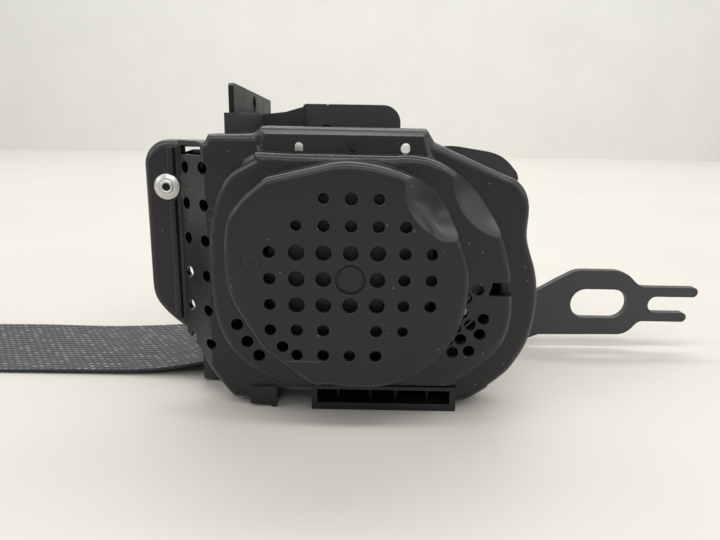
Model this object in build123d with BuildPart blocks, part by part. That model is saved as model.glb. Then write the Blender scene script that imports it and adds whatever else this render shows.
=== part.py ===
"""Seat belt retractor with ball pretensioner, vented front cover, anchor bracket and folded belt."""

import math
import os

from build123d import *

os.makedirs("parts", exist_ok=True)

# Frame: the origin is the centre of the anchor slot on the bracket's rear face
SPOOL_X = -95.4
SPOOL_Z = 26.45
COVER_Y = -59.0
TABLE = -44.6
GAP = 0.3

# Belt and spool
BELT_WIDTH = 47.0
BELT_THICK = 1.2
BELT_FRONT = 22.0
BELT_BACK = BELT_FRONT + BELT_WIDTH
ROLL_R = 28.6
CORE_R = 11.5
FLANGE_R = 29.0
FLANGE_T = 1.2
JOURNAL_R = 8.0
RUN_CLEAR = 0.06
BAR_STUB_R = 4.0
BAR_END_R = 6.0
BAR_MID_R = 4.6
BELT_ROOM = 0.5
SPOOL_FRONT = BELT_FRONT - BELT_ROOM - FLANGE_T
SPOOL_BACK = BELT_BACK + BELT_ROOM + FLANGE_T
WALL_ROOM = 1.3
BAR_STEP = 20.0
BAR_THICKENS = SPOOL_BACK - 6.7

# Steel frame
STEEL = 2.0
WALL_BACK = SPOOL_FRONT - WALL_ROOM
WALL_FRONT = WALL_BACK - STEEL
REAR_FRONT = SPOOL_BACK + WALL_ROOM
REAR_BACK = REAR_FRONT + STEEL
TOP_Z = 31.7
LUG_X = -37.9
LUG_T = 1.6
LUG_TOP_NEAR = 51.3
LUG_TOP_FAR = 48.4
LUG_NEAR = 20.0
LUG_FAR = REAR_BACK + 20.5
LUG_HOLE_R = 3.05
LUG_TAB = 9.0
LUG_TABS = [LUG_NEAR + 12.0, LUG_FAR - 12.0]
RING_TEETH = 36
RING_TIP_R = 24.0
RING_ROOT_R = 26.2
ROD_R = 3.0
TIE_RODS = [(32.4, -31.4), (38.5, 20.5)]
FRONT_BUSH_R = 10.5

# Front cover
WALL = 2.2
SKIN = 2.0
FACE = 2.0
LEDGE_FACE = 0.8
WING_FACE = 12.0
STEP_FACE = -5.0
DOME_FACE = -14.0
VENT_PITCH = 7.15
EDGE_R = 2.6
DOME_EDGE_R = 2.4

# Spring side
CUP_R = 24.8
CUP_FRONT = -9.8
CUP_BACK = 2.0
CUP_WALL = 1.4
CUP_EDGE_R = 2.0
LID_T = 1.4
LID_R = 29.0
SPRING_TURNS = 7
SPRING_T = 0.7
SPRING_BACK = 0.6
ARBOR_R = 7.0
ARBOR_BACK = 1.4
BAR_FRONT = -8.2

# Ball pretensioner
WHEEL_FRONT = 5.2
WHEEL_T = 9.0
WHEEL_R = 20.5
WHEEL_POCKETS = 17
BALL_R = 3.95
BALL_PATH_R = 22.0
TUBE_R = 5.0
TUBE_BORE_R = 4.15
TUBE_Y = 9.4
TUBE_RIGHT = 38.0
TUBE_TOP = 27.0
TUBE_LOW = -22.0
TUBE_OUT = (14.5, TUBE_LOW)
LOW_BEND_R = 19.0
LOW_BEND = (TUBE_RIGHT - LOW_BEND_R, TUBE_LOW + LOW_BEND_R)
HIGH_BEND_R = 21.0
HIGH_BEND = (TUBE_RIGHT - HIGH_BEND_R, TUBE_TOP - HIGH_BEND_R)
TUBE_IN = HIGH_BEND[0] - 5.5
BALL_COUNT = 9
CANISTER_R = 5.5
CANISTER_LEFT = -8.0
PLUG_X = -11.0
PLUG_TOP = 35.6
LEAD_START = 11.0
LEAD_Z = 33.8
LEAD_R = 1.4
TRACK_R = 29.2
TRACK_INNER_R = 26.6
TRACK_FRONT = LID_T + CUP_BACK + 1.2
TRACK_FLOOR = 14.9

# Anchor bracket
PLATE = 3.0
PAD_BACK = 59.0
SLOT_LENGTH = 22.0
SLOT_WIDTH = 11.5
FORK_GAP = 6.35
LAP_FRONT = REAR_BACK
LAP_RIVET_R = 2.6
LAP_RIVETS = [(43.0, -20.0), (51.5, -33.5)]

# Locking side
BASE_R = 21.5
BASE_FRONT = REAR_BACK + 0.5
BASE_BACK = BASE_FRONT + 1.9
HUB_R = 10.0
PAWL_PIVOT = (16.0, 325.0)
PAWL_PIVOT_R = 2.2
PAWL_SWING = 9.0
PAWL_PIN = (15.8, 300.0)
PAWL_PIN_R = 1.0
PAWL_FRONT = REAR_FRONT + 0.1
PAWL_BACK = BASE_FRONT - 0.2
DISC_R = 19.5
DISC_TEETH_R = 21.0
DISC_FRONT = BASE_BACK + 0.4
DISC_BACK = DISC_FRONT + 2.2
DISC_LAG = 20.0
STOP_PIN_R = 1.0
STOP_PIN_AT = 11.4
INERTIA_R = 13.0
INERTIA_BACK = DISC_BACK + 3.6
BUSH_R = 9.0
BUSH_FRONT = INERTIA_BACK + 1.2
REAR_COVER_R = 30.6
REAR_COVER_BACK = BUSH_FRONT + 7.2
COVER_WALL = 1.8
COVER_FLOOR = REAR_COVER_BACK - COVER_WALL
BULGE_RIGHT = 41.0
BULGE_HALF = 12.0
TAB_R = 4.0
TAB_T = 2.4
SCREW_R = 1.6
SCREWS = [(-27.0, 24.0), (-27.0, -24.0), (27.0, -24.0), (27.0, 24.0)]

# Vehicle sensor
CAGE_FRONT = REAR_BACK + 2.0
BALL_CENTRE = (30.4, CAGE_FRONT + 6.5)
SENSOR_BALL_R = 5.0
LEVER_PIVOT = (25.0, -8.0)
LEVER_PIN_R = 1.4
LEVER_OUTLINE = [
    (1.6, 0.0),
    (0.25, 5.0),
    (0.25, 11.0),
    (-2.9, 14.9),
    (-3.8, 13.6),
    (-1.1, 10.9),
    (-1.5, 0.0),
    (0.0, -1.6),
]
CAGE_LEFT = 22.6
CAGE_RIGHT = 39.0
DISH_X = 33.2

# Connector carrier over the frame
BLOCK_LEFT = -16.7
BLOCK_RIGHT = 14.5
BLOCK_TOP = 45.8
BLOCK_FRONT = 28.0
BLOCK_BACK = REAR_FRONT - 2.0
SLEEVE_BACK = LUG_FAR - 2.5
SOCKET_DEPTH = 14.0
CONTACT_R = 0.5

# Belt outside the retractor, its tongue and its lower anchor plate
FLAT = TABLE + BELT_THICK / 2
LAYER = 2.0
TONGUE_Z = -32.5
TONGUE_BAR_X = -225.0
TONGUE_STEEL = 2.6
TONGUE_T = 4.6
TONGUE_FOLD = 3.9
ANCHOR_Z = -24.5
ANCHOR_BAR_X = -205.0
ANCHOR_T = 3.0
ANCHOR_FOLD = 3.2
SEWN_Z = ANCHOR_Z - ANCHOR_FOLD + BELT_THICK + 0.1
BELT_MID = (BELT_FRONT + BELT_BACK) / 2
SLOT_ROOM = BELT_WIDTH + 2.5


def across(depth, x=0.0, z=0.0):
    """Plane square to the spool axis at a depth behind the cover's foremost bar, facing forward."""
    return Plane(
        origin=(SPOOL_X + x, COVER_Y + depth, SPOOL_Z + z), x_dir=(1, 0, 0), z_dir=(0, -1, 0)
    )


def level(z, x=0.0, depth=0.0):
    """Horizontal plane at a height from the spool axis; local y runs away from the viewer."""
    return Plane(
        origin=(SPOOL_X + x, COVER_Y + depth, SPOOL_Z + z), x_dir=(1, 0, 0), z_dir=(0, 0, 1)
    )


def side(x, depth=0.0, z=0.0):
    """Upright plane along the spool axis, facing right; local x runs away from the viewer."""
    return Plane(
        origin=(SPOOL_X + x, COVER_Y + depth, SPOOL_Z + z), x_dir=(0, 1, 0), z_dir=(1, 0, 0)
    )


def polar(radius, degrees):
    """Point on a circle round the spool axis."""
    turn = math.radians(degrees)
    return (radius * math.cos(turn), radius * math.sin(turn))


def place(x, depth, z):
    """Point in the row frame from a point measured from the spool axis and the cover's bar."""
    return (SPOOL_X + x, COVER_Y + depth, SPOOL_Z + z)


def rounded_tier(base, face, radius):
    """Depth and inset of the sections that carry a rounded edge from a base up to a face."""
    sections = [(base, 0.0)]
    for step in range(5):
        turn = math.radians(22.5 * step)
        sections.append((face + radius * (1 - math.sin(turn)), radius * (1 - math.cos(turn))))
    return sections


# Front cover outlines, seen from the front, measured from the spool axis
def inset_points(points, inset, centre, half):
    """Move outline points towards the centre by a wall thickness on a shape of the given half size."""
    return [
        (
            centre[0] + (x - centre[0]) * (1.0 - inset / half[0]),
            centre[1] + (z - centre[1]) * (1.0 - inset / half[1]),
        )
        for x, z in points
    ]


def cover_outline(inset=0.0):
    """Rim of the cover: wing, shoulder, ledge, slant, waist and bulge."""

    def at(*points):
        return inset_points(points, inset, (-3.5, -2.0), (58.7, 41.0))

    Polyline(*at((-30.2, -42.9), (-34.2, -42.9)))
    Spline(*at((-34.2, -42.9), (-37.2, -41.0), (-39.6, -37.8)), tangents=((-1, 0), (-0.56, 0.83)))
    Line(*at((-39.6, -37.8), (-45.4, -29.1)))
    Spline(
        *at((-45.4, -29.1), (-50.0, -25.3), (-55.6, -21.2), (-60.6, -15.6), (-62.2, -9.0)),
        tangents=((-0.56, 0.83), (0, 1)),
    )
    Line(*at((-62.2, -9.0), (-62.2, 27.2)))
    ThreePointArc(*at((-62.2, 27.2), (-60.0, 32.4), (-54.8, 34.6)))
    Polyline(*at((-54.8, 34.6), (-41.6, 34.6), (-40.6, 36.6), (-28.0, 37.0), (-25.6, 39.0)))
    Polyline(*at((-25.6, 39.0), (20.4, 39.0), (22.8, 35.4), (41.0, 27.6)))
    Spline(
        *at(
            (41.0, 27.6),
            (47.6, 24.4),
            (50.6, 18.4),
            (50.7, 9.4),
            (53.4, 0.8),
            (55.1, -9.2),
            (54.6, -17.2),
            (52.6, -24.8),
            (49.6, -30.4),
            (45.4, -35.2),
            (41.2, -38.9),
            (38.4, -41.0),
        ),
        tangents=((0.92, -0.39), (-0.82, -0.57)),
    )
    ThreePointArc(*at((38.4, -41.0), (36.2, -42.3), (33.6, -42.9)))
    Line(*at((33.6, -42.9), (-30.2, -42.9)))


def step_outline(inset=0.0):
    """Middle step of the cover."""

    def at(*points):
        return inset_points(points, inset, (3.0, -0.5), (42.8, 34.5))

    Line(*at((-18.5, 34.0), (11.5, 34.0)))
    Spline(
        *at(
            (11.5, 34.0),
            (28.8, 28.3),
            (40.5, 13.6),
            (45.8, -5.0),
            (41.2, -25.4),
            (31.5, -33.3),
            (21.5, -35.0),
        ),
        tangents=((1, 0), (-1, 0)),
    )
    Line(*at((21.5, -35.0), (-14.0, -35.0)))
    Spline(
        *at(
            (-14.0, -35.0),
            (-26.1, -32.0),
            (-36.0, -22.1),
            (-39.7, -9.0),
            (-40.0, 2.0),
            (-39.2, 12.6),
            (-37.2, 21.0),
            (-32.8, 28.4),
            (-26.6, 32.4),
            (-18.5, 34.0),
        ),
        tangents=((-1, 0), (1, 0)),
    )


def dome_outline(inset=0.0):
    """Raised cap of the cover with its blunt corner and its cut lower left."""

    def at(*points):
        return inset_points(points, inset, (-1.0, 0.5), (32.9, 31.9))

    Line(*at((-21.2, 27.2), (-6.5, 31.7)))
    Spline(
        *at(
            (-6.5, 31.7),
            (5.0, 32.4),
            (17.2, 28.5),
            (29.4, 14.2),
            (31.9, -3.0),
            (27.8, -18.0),
            (14.1, -29.6),
            (2.0, -31.5),
            (-7.6, -30.9),
            (-15.4, -27.2),
        ),
        tangents=((0.94, 0.3), (-0.8, 0.6)),
    )
    Line(*at((-15.4, -27.2), (-24.4, -20.0)))
    Line(*at((-24.4, -20.0), (-30.8, -9.0)))
    Spline(
        *at((-30.8, -9.0), (-33.9, 2.4), (-30.6, 15.6), (-21.2, 27.2)),
        tangents=((-0.5, 0.87), (0.75, 0.66)),
    )


RIM_PROFILE = [
    (-51.2, 11.0),
    (-41.6, 2.0),
    (-41.6, -10.0),
    (60.0, -10.0),
    (60.0, 17.0),
    (-51.2, 17.0),
]
CORE_PROFILE = [
    (-66.0, 14.2),
    (-50.9, 14.2),
    (-40.3, 4.2),
    (60.0, 4.2),
    (60.0, 18.0),
    (-66.0, 18.0),
]
DOME_SCOOP = (27.6, 25.0, -24.6)
DOME_SCOOP_R = 17.6
STEP_SCOOP = (45.2, 27.6, -19.5)
STEP_SCOOP_R = 23.2
FACET_TILT = 24.0


def facet_plane(depth, distance, angle):
    """Plane that cuts a sloping flat on the cover's lower right."""
    turn = math.radians(angle)
    lean = math.radians(FACET_TILT)
    normal = (math.cos(turn) * math.sin(lean), -math.cos(lean), math.sin(turn) * math.sin(lean))
    origin = (
        SPOOL_X + distance * math.cos(turn),
        COVER_Y + depth,
        SPOOL_Z + distance * math.sin(turn),
    )
    return Plane(origin=origin, x_dir=(-math.sin(turn), 0, math.cos(turn)), z_dir=normal)


# Inside space of the cover, kept one wall thickness under the outer skin
with BuildPart() as cover_core:
    with BuildSketch(across(18.0)):
        with BuildLine():
            cover_outline(WALL)
        make_face()
    extrude(amount=18.0 + 10.0)
    with BuildSketch(level(-60.0)):
        with BuildLine():
            Polyline(*CORE_PROFILE, close=True)
        make_face()
    extrude(amount=120.0, mode=Mode.INTERSECT)

with BuildPart() as step_core:
    with BuildSketch(across(5.0)):
        with BuildLine():
            step_outline(WALL)
        make_face()
    extrude(amount=5.0 - STEP_FACE - SKIN)
    with Locations((SPOOL_X + STEP_SCOOP[0], COVER_Y + STEP_SCOOP[2], SPOOL_Z + STEP_SCOOP[1])):
        Sphere(STEP_SCOOP_R + SKIN, mode=Mode.SUBTRACT)
    with BuildSketch(facet_plane(STEP_FACE + SKIN / math.cos(math.radians(FACET_TILT)), 41.8, -50.5)):
        Rectangle(90.0, 60.0)
    extrude(amount=40.0, mode=Mode.SUBTRACT)

with BuildPart() as dome_core:
    with BuildSketch(across(-2.0)):
        with BuildLine():
            dome_outline(WALL)
        make_face()
    extrude(amount=-2.0 - DOME_FACE - SKIN)
    with Locations((SPOOL_X + DOME_SCOOP[0], COVER_Y + DOME_SCOOP[2], SPOOL_Z + DOME_SCOOP[1])):
        Sphere(DOME_SCOOP_R + SKIN, mode=Mode.SUBTRACT)
    with BuildSketch(facet_plane(DOME_FACE + SKIN / math.cos(math.radians(FACET_TILT)), 27.8, -45.8)):
        Rectangle(70.0, 40.0)
    extrude(amount=40.0, mode=Mode.SUBTRACT)

# Outer skin of each tier with its rounded edge
with BuildPart() as cover_flange:
    for depth, inset in rounded_tier(WALL_FRONT, FACE, EDGE_R):
        with BuildSketch(across(depth)):
            with BuildLine():
                cover_outline(inset)
            make_face()
    loft(ruled=True)
    with BuildSketch(level(-60.0)):
        with BuildLine():
            Polyline(*RIM_PROFILE, close=True)
        make_face()
    extrude(amount=120.0, mode=Mode.INTERSECT)

with BuildPart() as cover_wing:
    for depth, inset in rounded_tier(WALL_FRONT, WING_FACE, EDGE_R):
        with BuildSketch(across(depth)):
            with BuildLine():
                cover_outline(inset)
            make_face()
    loft(ruled=True)
    with BuildSketch(level(-60.0)):
        with Locations((-58.6, 14.0)):
            Rectangle(14.8, 12.0)
    extrude(amount=120.0, mode=Mode.INTERSECT)

with BuildPart() as cover_step:
    for depth, inset in rounded_tier(3.0, STEP_FACE, EDGE_R):
        with BuildSketch(across(depth)):
            with BuildLine():
                step_outline(inset)
            make_face()
    loft(ruled=True)
    with Locations((SPOOL_X + STEP_SCOOP[0], COVER_Y + STEP_SCOOP[2], SPOOL_Z + STEP_SCOOP[1])):
        Sphere(STEP_SCOOP_R, mode=Mode.SUBTRACT)
    with BuildSketch(facet_plane(STEP_FACE, 41.8, -50.5)):
        Rectangle(90.0, 60.0)
    extrude(amount=40.0, mode=Mode.SUBTRACT)

with BuildPart() as cover_dome:
    for depth, inset in rounded_tier(STEP_FACE + 1.0, DOME_FACE, DOME_EDGE_R):
        with BuildSketch(across(depth)):
            with BuildLine():
                dome_outline(inset)
            make_face()
    loft(ruled=True)
    with Locations((SPOOL_X + DOME_SCOOP[0], COVER_Y + DOME_SCOOP[2], SPOOL_Z + DOME_SCOOP[1])):
        Sphere(DOME_SCOOP_R, mode=Mode.SUBTRACT)
    with BuildSketch(facet_plane(DOME_FACE, 27.8, -45.8)):
        Rectangle(70.0, 40.0)
    extrude(amount=40.0, mode=Mode.SUBTRACT)


# Rows of dome vents: height in pitches, then column in pitches and hole radius
VENTS = [
    (3, ((-1, 1.45), (0, 1.7), (1, 1.45))),
    (2, ((-2, 1.45), (-1, 1.6), (0, 1.62), (1, 1.62), (2, 1.6))),
    (1, ((-3, 1.65), (-2, 2.2), (-1, 2.12), (0, 2.12), (1, 2.12), (2, 1.65), (3, 1.6))),
    (0, ((-3, 1.65), (-2, 2.2), (-1, 2.12), (1, 2.12), (2, 1.65), (3, 1.6))),
    (-1, ((-3, 1.6), (-2, 2.2), (-1, 2.12), (0, 2.12), (1, 2.12), (2, 1.6), (3, 1.6))),
    (-2, ((-3, 1.6), (-2, 1.65), (-1, 1.65), (1, 1.65), (2, 1.45))),
    (-3, ((-2, 1.6), (-1, 1.65), (0, 1.6), (1, 1.65))),
]
LOW_VENTS = [(-32.3, -16.1), (-29.5, -21.2), (-26.2, -25.4)]
CLUSTER = [
    (35.7, -4.7),
    (32.5, -7.1),
    (31.6, -11.5),
    (37.8, -13.3),
    (34.1, -15.1),
    (30.0, -16.0),
    (37.0, -17.9),
    (31.6, -19.5),
    (27.8, -20.0),
    (34.2, -23.0),
    (29.5, -23.5),
]
SLANT_VENTS = [27.0, 16.5, 6.1, -4.4, -14.9]
LEDGE_HOLES = [(-15.0, 33.5), (-0.1, 33.6), (14.5, 33.7)]
RIVET = (-55.2, 20.9)
RIVET_R = 2.0
RIVET_HEAD_R = 4.05
BAR_LEFT = -11.5
BAR_RIGHT = 32.2

with BuildPart() as front_cover:
    add(cover_flange.part)
    add(cover_wing.part)
    add(cover_step.part)
    add(cover_dome.part)
    with BuildSketch(across(3.0)):
        with BuildLine():
            Polyline((-27.6, 30.0), (-25.9, 38.3), (20.7, 38.3), (23.4, 30.0), close=True)
        make_face()
    with BuildSketch(across(LEDGE_FACE)):
        with BuildLine():
            Polyline((-25.8, 30.0), (-24.2, 37.0), (19.2, 37.0), (21.6, 30.0), close=True)
        make_face()
    loft(ruled=True)
    with BuildSketch(level(-20.0)):
        with Locations((-53.9, 12.5)):
            Circle(1.5)
    extrude(amount=52.5)
    add(cover_core.part, mode=Mode.SUBTRACT)
    add(step_core.part, mode=Mode.SUBTRACT)
    add(dome_core.part, mode=Mode.SUBTRACT)
    # Bottom box with its window and ribs, and the latch tab beside the open notch
    with BuildSketch(across(WALL_FRONT)):
        with Locations(((BAR_LEFT + BAR_RIGHT) / 2, (TABLE - 36.8) / 2)):
            Rectangle(BAR_RIGHT - BAR_LEFT, -36.8 - TABLE)
    extrude(amount=WALL_FRONT)
    with BuildSketch(across(WALL_FRONT)):
        with BuildLine():
            Polyline((-30.2, -38.0), (-30.2, -43.6), (-24.4, -43.6))
            Polyline((-24.4, -43.6), (-23.6, TABLE), (-22.2, TABLE), (-22.2, -38.0), (-30.2, -38.0))
        make_face()
    extrude(amount=WALL_FRONT - 1.0)
    with BuildSketch(across(14.8)):
        with Locations((10.25, -40.2)):
            Rectangle(40.1, 4.4)
    extrude(amount=16.0, mode=Mode.SUBTRACT)
    with BuildSketch(across(14.8)):
        with Locations((-3.6, -40.2), (6.4, -40.2), (14.2, -40.2), (24.0, -40.2)):
            Rectangle(0.8, 4.6)
    extrude(amount=10.4)
    with BuildSketch(across(WALL_FRONT + 1.0)):
        with Locations((-16.75, -41.8)):
            Rectangle(10.5, 6.4)
    extrude(amount=20.0, mode=Mode.SUBTRACT)
    # Rivet boss behind the wing
    with BuildSketch(across(WALL_FRONT)):
        with Locations(RIVET):
            Circle(4.2)
    extrude(amount=3.0)
    with BuildSketch(across(WALL_FRONT)):
        with Locations(RIVET):
            Circle(RIVET_R)
    extrude(amount=8.0, mode=Mode.SUBTRACT)
    with BuildSketch(across(WING_FACE)):
        with Locations(RIVET):
            Circle(RIVET_HEAD_R + 0.25)
    extrude(amount=3.0, mode=Mode.SUBTRACT)
    # Vents of the dome, the centre disc and the mould mark
    with BuildSketch(across(DOME_FACE + 6.0)):
        for row, holes in VENTS:
            for column, radius in holes:
                with Locations((column * VENT_PITCH, row * VENT_PITCH)):
                    Circle(radius)
        with Locations((-18.2, -19.1)):
            Circle(1.6)
    extrude(amount=7.0, mode=Mode.SUBTRACT)
    with BuildSketch(across(DOME_FACE + 1.3)):
        Circle(4.2)
        Circle(3.5, mode=Mode.SUBTRACT)
    extrude(amount=3.0, mode=Mode.SUBTRACT)
    with BuildSketch(across(DOME_FACE + 0.8)):
        Circle(4.2)
    extrude(amount=3.0, mode=Mode.SUBTRACT)
    with BuildSketch(across(DOME_FACE + 0.3)):
        with Locations((-26.2, 4.1)):
            Circle(2.7)
            Circle(2.3, mode=Mode.SUBTRACT)
            Circle(0.5)
    extrude(amount=2.0, mode=Mode.SUBTRACT)
    # Vents of the step, the ledge holes and the keyway on the right
    with BuildSketch(across(STEP_FACE + 4.0)):
        with Locations(*LOW_VENTS):
            Circle(1.75)
        with Locations(*CLUSTER):
            Circle(1.7)
    extrude(amount=4.4, mode=Mode.SUBTRACT)
    with BuildSketch(across(5.0)):
        with Locations(*LEDGE_HOLES):
            Circle(1.42)
    extrude(amount=6.0, mode=Mode.SUBTRACT)
    with BuildSketch(across(1.0)):
        with Locations((43.2, -4.5)):
            Rectangle(8.6, 4.0)
    extrude(amount=8.0, mode=Mode.SUBTRACT)
    # Perforated slant and its window
    with BuildSketch(across(WING_FACE + 2.5)):
        with Locations(*[(-48.9, height) for height in SLANT_VENTS]):
            Ellipse(1.3, 1.78)
        with Locations((-48.7, -25.0)):
            Ellipse(1.1, 1.4)
    extrude(amount=10.0, mode=Mode.SUBTRACT)
    with BuildSketch(across(FACE + 6.0)):
        with Locations(*[(-42.4, height + 0.2) for height in SLANT_VENTS]):
            Ellipse(1.55, 1.75)
    extrude(amount=8.0, mode=Mode.SUBTRACT)
    with BuildSketch(across(WING_FACE)):
        with Locations((-41.9, -25.2)):
            Circle(1.7)
    extrude(amount=12.0, mode=Mode.SUBTRACT)
    with BuildSketch(across(13.0)):
        with Locations((-46.5, 31.9)):
            Rectangle(7.6, 2.7)
    extrude(amount=11.5, mode=Mode.SUBTRACT)

with BuildPart() as blind_rivet:
    with BuildSketch(side(RIVET[0], 0.0, RIVET[1])):
        with BuildLine():
            Polyline((10.7, 1.15), (10.7, 2.6), (11.3, 3.8), (12.0, RIVET_HEAD_R), (12.0, RIVET_R))
            Polyline((12.0, RIVET_R), (19.0, RIVET_R), (19.0, 3.0), (20.6, 3.0), (21.8, 1.6), (21.8, 1.15))
            Line((21.8, 1.15), (10.7, 1.15))
        make_face()
    revolve(axis=Axis((SPOOL_X + RIVET[0], COVER_Y, SPOOL_Z + RIVET[1]), (0, 1, 0)))

# Steel frame: two walls and the top plate
with BuildPart() as frame:
    with BuildSketch(across(WALL_BACK)):
        with BuildLine():
            Polyline(
                (50.2, 24.6),
                (48.4, 16.0),
                (48.4, -18.0),
                (40.0, -36.0),
                (-38.0, -36.0),
                (-44.2, -28.4),
                (-48.5, -23.0),
                (-48.5, -2.0),
                (-60.0, 0.0),
                (-60.0, 28.0),
                (-48.5, TOP_Z),
                (23.0, TOP_Z),
                (26.0, 33.6),
            )
            Spline(
                (26.0, 33.6),
                (30.0, 34.0),
                (36.0, 33.2),
                (42.6, 32.0),
                (46.4, 29.9),
                (49.0, 27.2),
                (50.2, 24.6),
                tangents=((1, 0.3), (0.2, -1)),
            )
        make_face()
        with Locations(RIVET):
            Circle(RIVET_R, mode=Mode.SUBTRACT)
        Circle(FRONT_BUSH_R, mode=Mode.SUBTRACT)
        with Locations((0.0, -25.0), (25.0, 10.0), (-26.0, 6.0)):
            Circle(3.0, mode=Mode.SUBTRACT)
        with Locations(*TIE_RODS):
            Circle(ROD_R, mode=Mode.SUBTRACT)
    extrude(amount=STEEL)
    with BuildSketch(across(REAR_BACK)):
        with BuildLine():
            Polyline(
                (-44.0, -36.0),
                (-44.0, TOP_Z),
                (24.0, TOP_Z),
                (45.0, 26.0),
                (45.0, -8.0),
                (57.0, -14.0),
                (57.0, -39.6),
                (30.0, -39.6),
                close=True,
            )
        make_face()
        Circle(RING_ROOT_R, mode=Mode.SUBTRACT)
        with Locations(*TIE_RODS):
            Circle(ROD_R, mode=Mode.SUBTRACT)
        with Locations(*LAP_RIVETS):
            Circle(LAP_RIVET_R, mode=Mode.SUBTRACT)
        with Locations(*SCREWS):
            Circle(SCREW_R, mode=Mode.SUBTRACT)
    extrude(amount=STEEL)
    with BuildSketch(across(REAR_BACK)):
        with PolarLocations(RING_TIP_R, RING_TEETH):
            Polygon((0.0, -0.25), (2.6, -0.9), (2.6, 1.0), (0.0, 0.35), align=None)
    extrude(amount=STEEL)
    with BuildSketch(level(TOP_Z - STEEL)):
        with Locations((-7.95, (WALL_FRONT + REAR_BACK) / 2)):
            Rectangle(59.9, REAR_BACK - WALL_FRONT)
        with Locations((-30.4, (WALL_FRONT + LUG_FAR) / 2)):
            Rectangle(15.0, LUG_FAR - WALL_FRONT)
        with Locations((2.0, 45.5)):
            RectangleRounded(16.0, 22.0, 4.0, mode=Mode.SUBTRACT)
        with Locations(*[(LUG_X + LUG_T / 2, depth) for depth in LUG_TABS]):
            Rectangle(LUG_T, LUG_TAB, mode=Mode.SUBTRACT)
    extrude(amount=STEEL)

# Upright lug plate, welded by its tabs into notches of the frame's top plate
with BuildPart() as lug_plate:
    with BuildSketch(side(LUG_X)):
        with BuildLine():
            Polyline(
                (LUG_NEAR, TOP_Z),
                (LUG_NEAR, LUG_TOP_NEAR - 0.8),
                (LUG_NEAR + 1.6, LUG_TOP_NEAR),
                (LUG_FAR, LUG_TOP_FAR),
                (LUG_FAR, TOP_Z),
                close=True,
            )
        make_face()
        with Locations(*[(depth, TOP_Z - STEEL / 2) for depth in LUG_TABS]):
            Rectangle(LUG_TAB, STEEL)
        with Locations((55.5, 45.8)):
            Circle(LUG_HOLE_R, mode=Mode.SUBTRACT)
    extrude(amount=LUG_T)

def from_slot(*points):
    """Turn points measured from the anchor slot's centre into points measured from the spool axis."""
    return [(x - SPOOL_X, z - SPOOL_Z) for x, z in points]


# Anchor bracket: lap on the rear wall, joggle, pad with slot, fork
with BuildPart() as mounting_bracket:
    with BuildSketch(level(-60.0)):
        with BuildLine():
            Polyline(
                (35.0, LAP_FRONT),
                (58.6, LAP_FRONT),
                (64.6, PAD_BACK - PLATE),
                (140.0, PAD_BACK - PLATE),
                (140.0, PAD_BACK),
                (66.8, PAD_BACK),
                (60.8, LAP_FRONT + PLATE),
                (35.0, LAP_FRONT + PLATE),
                close=True,
            )
        make_face()
    extrude(amount=80.0)
    with BuildSketch(across(90.0)):
        with BuildLine():
            Polyline((37.0, -15.4), (54.0, -15.4), (62.0, -22.6), (69.6, -22.1))
            Spline(
                (69.6, -22.1),
                *from_slot((-18.8, 8.15), (-13.4, 11.25), (-7.0, 13.25)),
                tangents=((0.9, 0.3), (1, 0)),
            )
            Line(*from_slot((-7.0, 13.25), (4.0, 13.25)))
            Spline(*from_slot((4.0, 13.25), (11.5, 10.55), (17.8, 6.95)), tangents=((1, 0), (1, 0)))
            Line(*from_slot((17.8, 6.95), (36.2, 6.95)))
            ThreePointArc(*from_slot((36.2, 6.95), (37.7, 5.15), (36.2, FORK_GAP / 2)))
            Line(*from_slot((36.2, FORK_GAP / 2), (19.0 + FORK_GAP / 2, FORK_GAP / 2)))
            ThreePointArc(
                *from_slot(
                    (19.0 + FORK_GAP / 2, FORK_GAP / 2), (19.0, 0.0), (19.0 + FORK_GAP / 2, -FORK_GAP / 2)
                )
            )
            Line(*from_slot((19.0 + FORK_GAP / 2, -FORK_GAP / 2), (32.8, -FORK_GAP / 2)))
            ThreePointArc(*from_slot((32.8, -FORK_GAP / 2), (34.5, -4.95), (32.8, -6.85)))
            Line(*from_slot((32.8, -6.85), (18.0, -6.85)))
            Spline(*from_slot((18.0, -6.85), (13.8, -9.75), (7.6, -12.45)), tangents=((-1, 0), (-1, 0)))
            Line(*from_slot((7.6, -12.45), (-22.4, -12.95)))
            Polyline(*from_slot((-22.4, -12.95)), (68.0, -41.4), (62.0, -41.6), (37.0, -41.6))
            Line((37.0, -41.6), (37.0, -15.4))
        make_face()
        with Locations((-SPOOL_X, -SPOOL_Z)):
            SlotOverall(SLOT_LENGTH, SLOT_WIDTH, mode=Mode.SUBTRACT)
        with Locations(*LAP_RIVETS):
            Circle(LAP_RIVET_R, mode=Mode.SUBTRACT)
    extrude(amount=60.0, mode=Mode.INTERSECT)


def pin_sections(front, back, radius, head_radius, head):
    """Rear depth, radius and length of a pin through plates and of its head at each end."""
    return [(back, radius, back - front), (back + head, head_radius, head), (front, head_radius, head)]


with BuildPart() as bracket_rivets:
    for depth, radius, length in pin_sections(REAR_FRONT, LAP_FRONT + PLATE, LAP_RIVET_R, 4.3, 1.4):
        with BuildSketch(across(depth)):
            with Locations(*LAP_RIVETS):
                Circle(radius)
        extrude(amount=length)

with BuildPart() as tie_rods:
    for depth, radius, length in pin_sections(WALL_FRONT, REAR_BACK, ROD_R, ROD_R + 1.0, 1.0):
        with BuildSketch(across(depth)):
            with Locations(*TIE_RODS):
                Circle(radius)
        extrude(amount=length)

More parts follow.
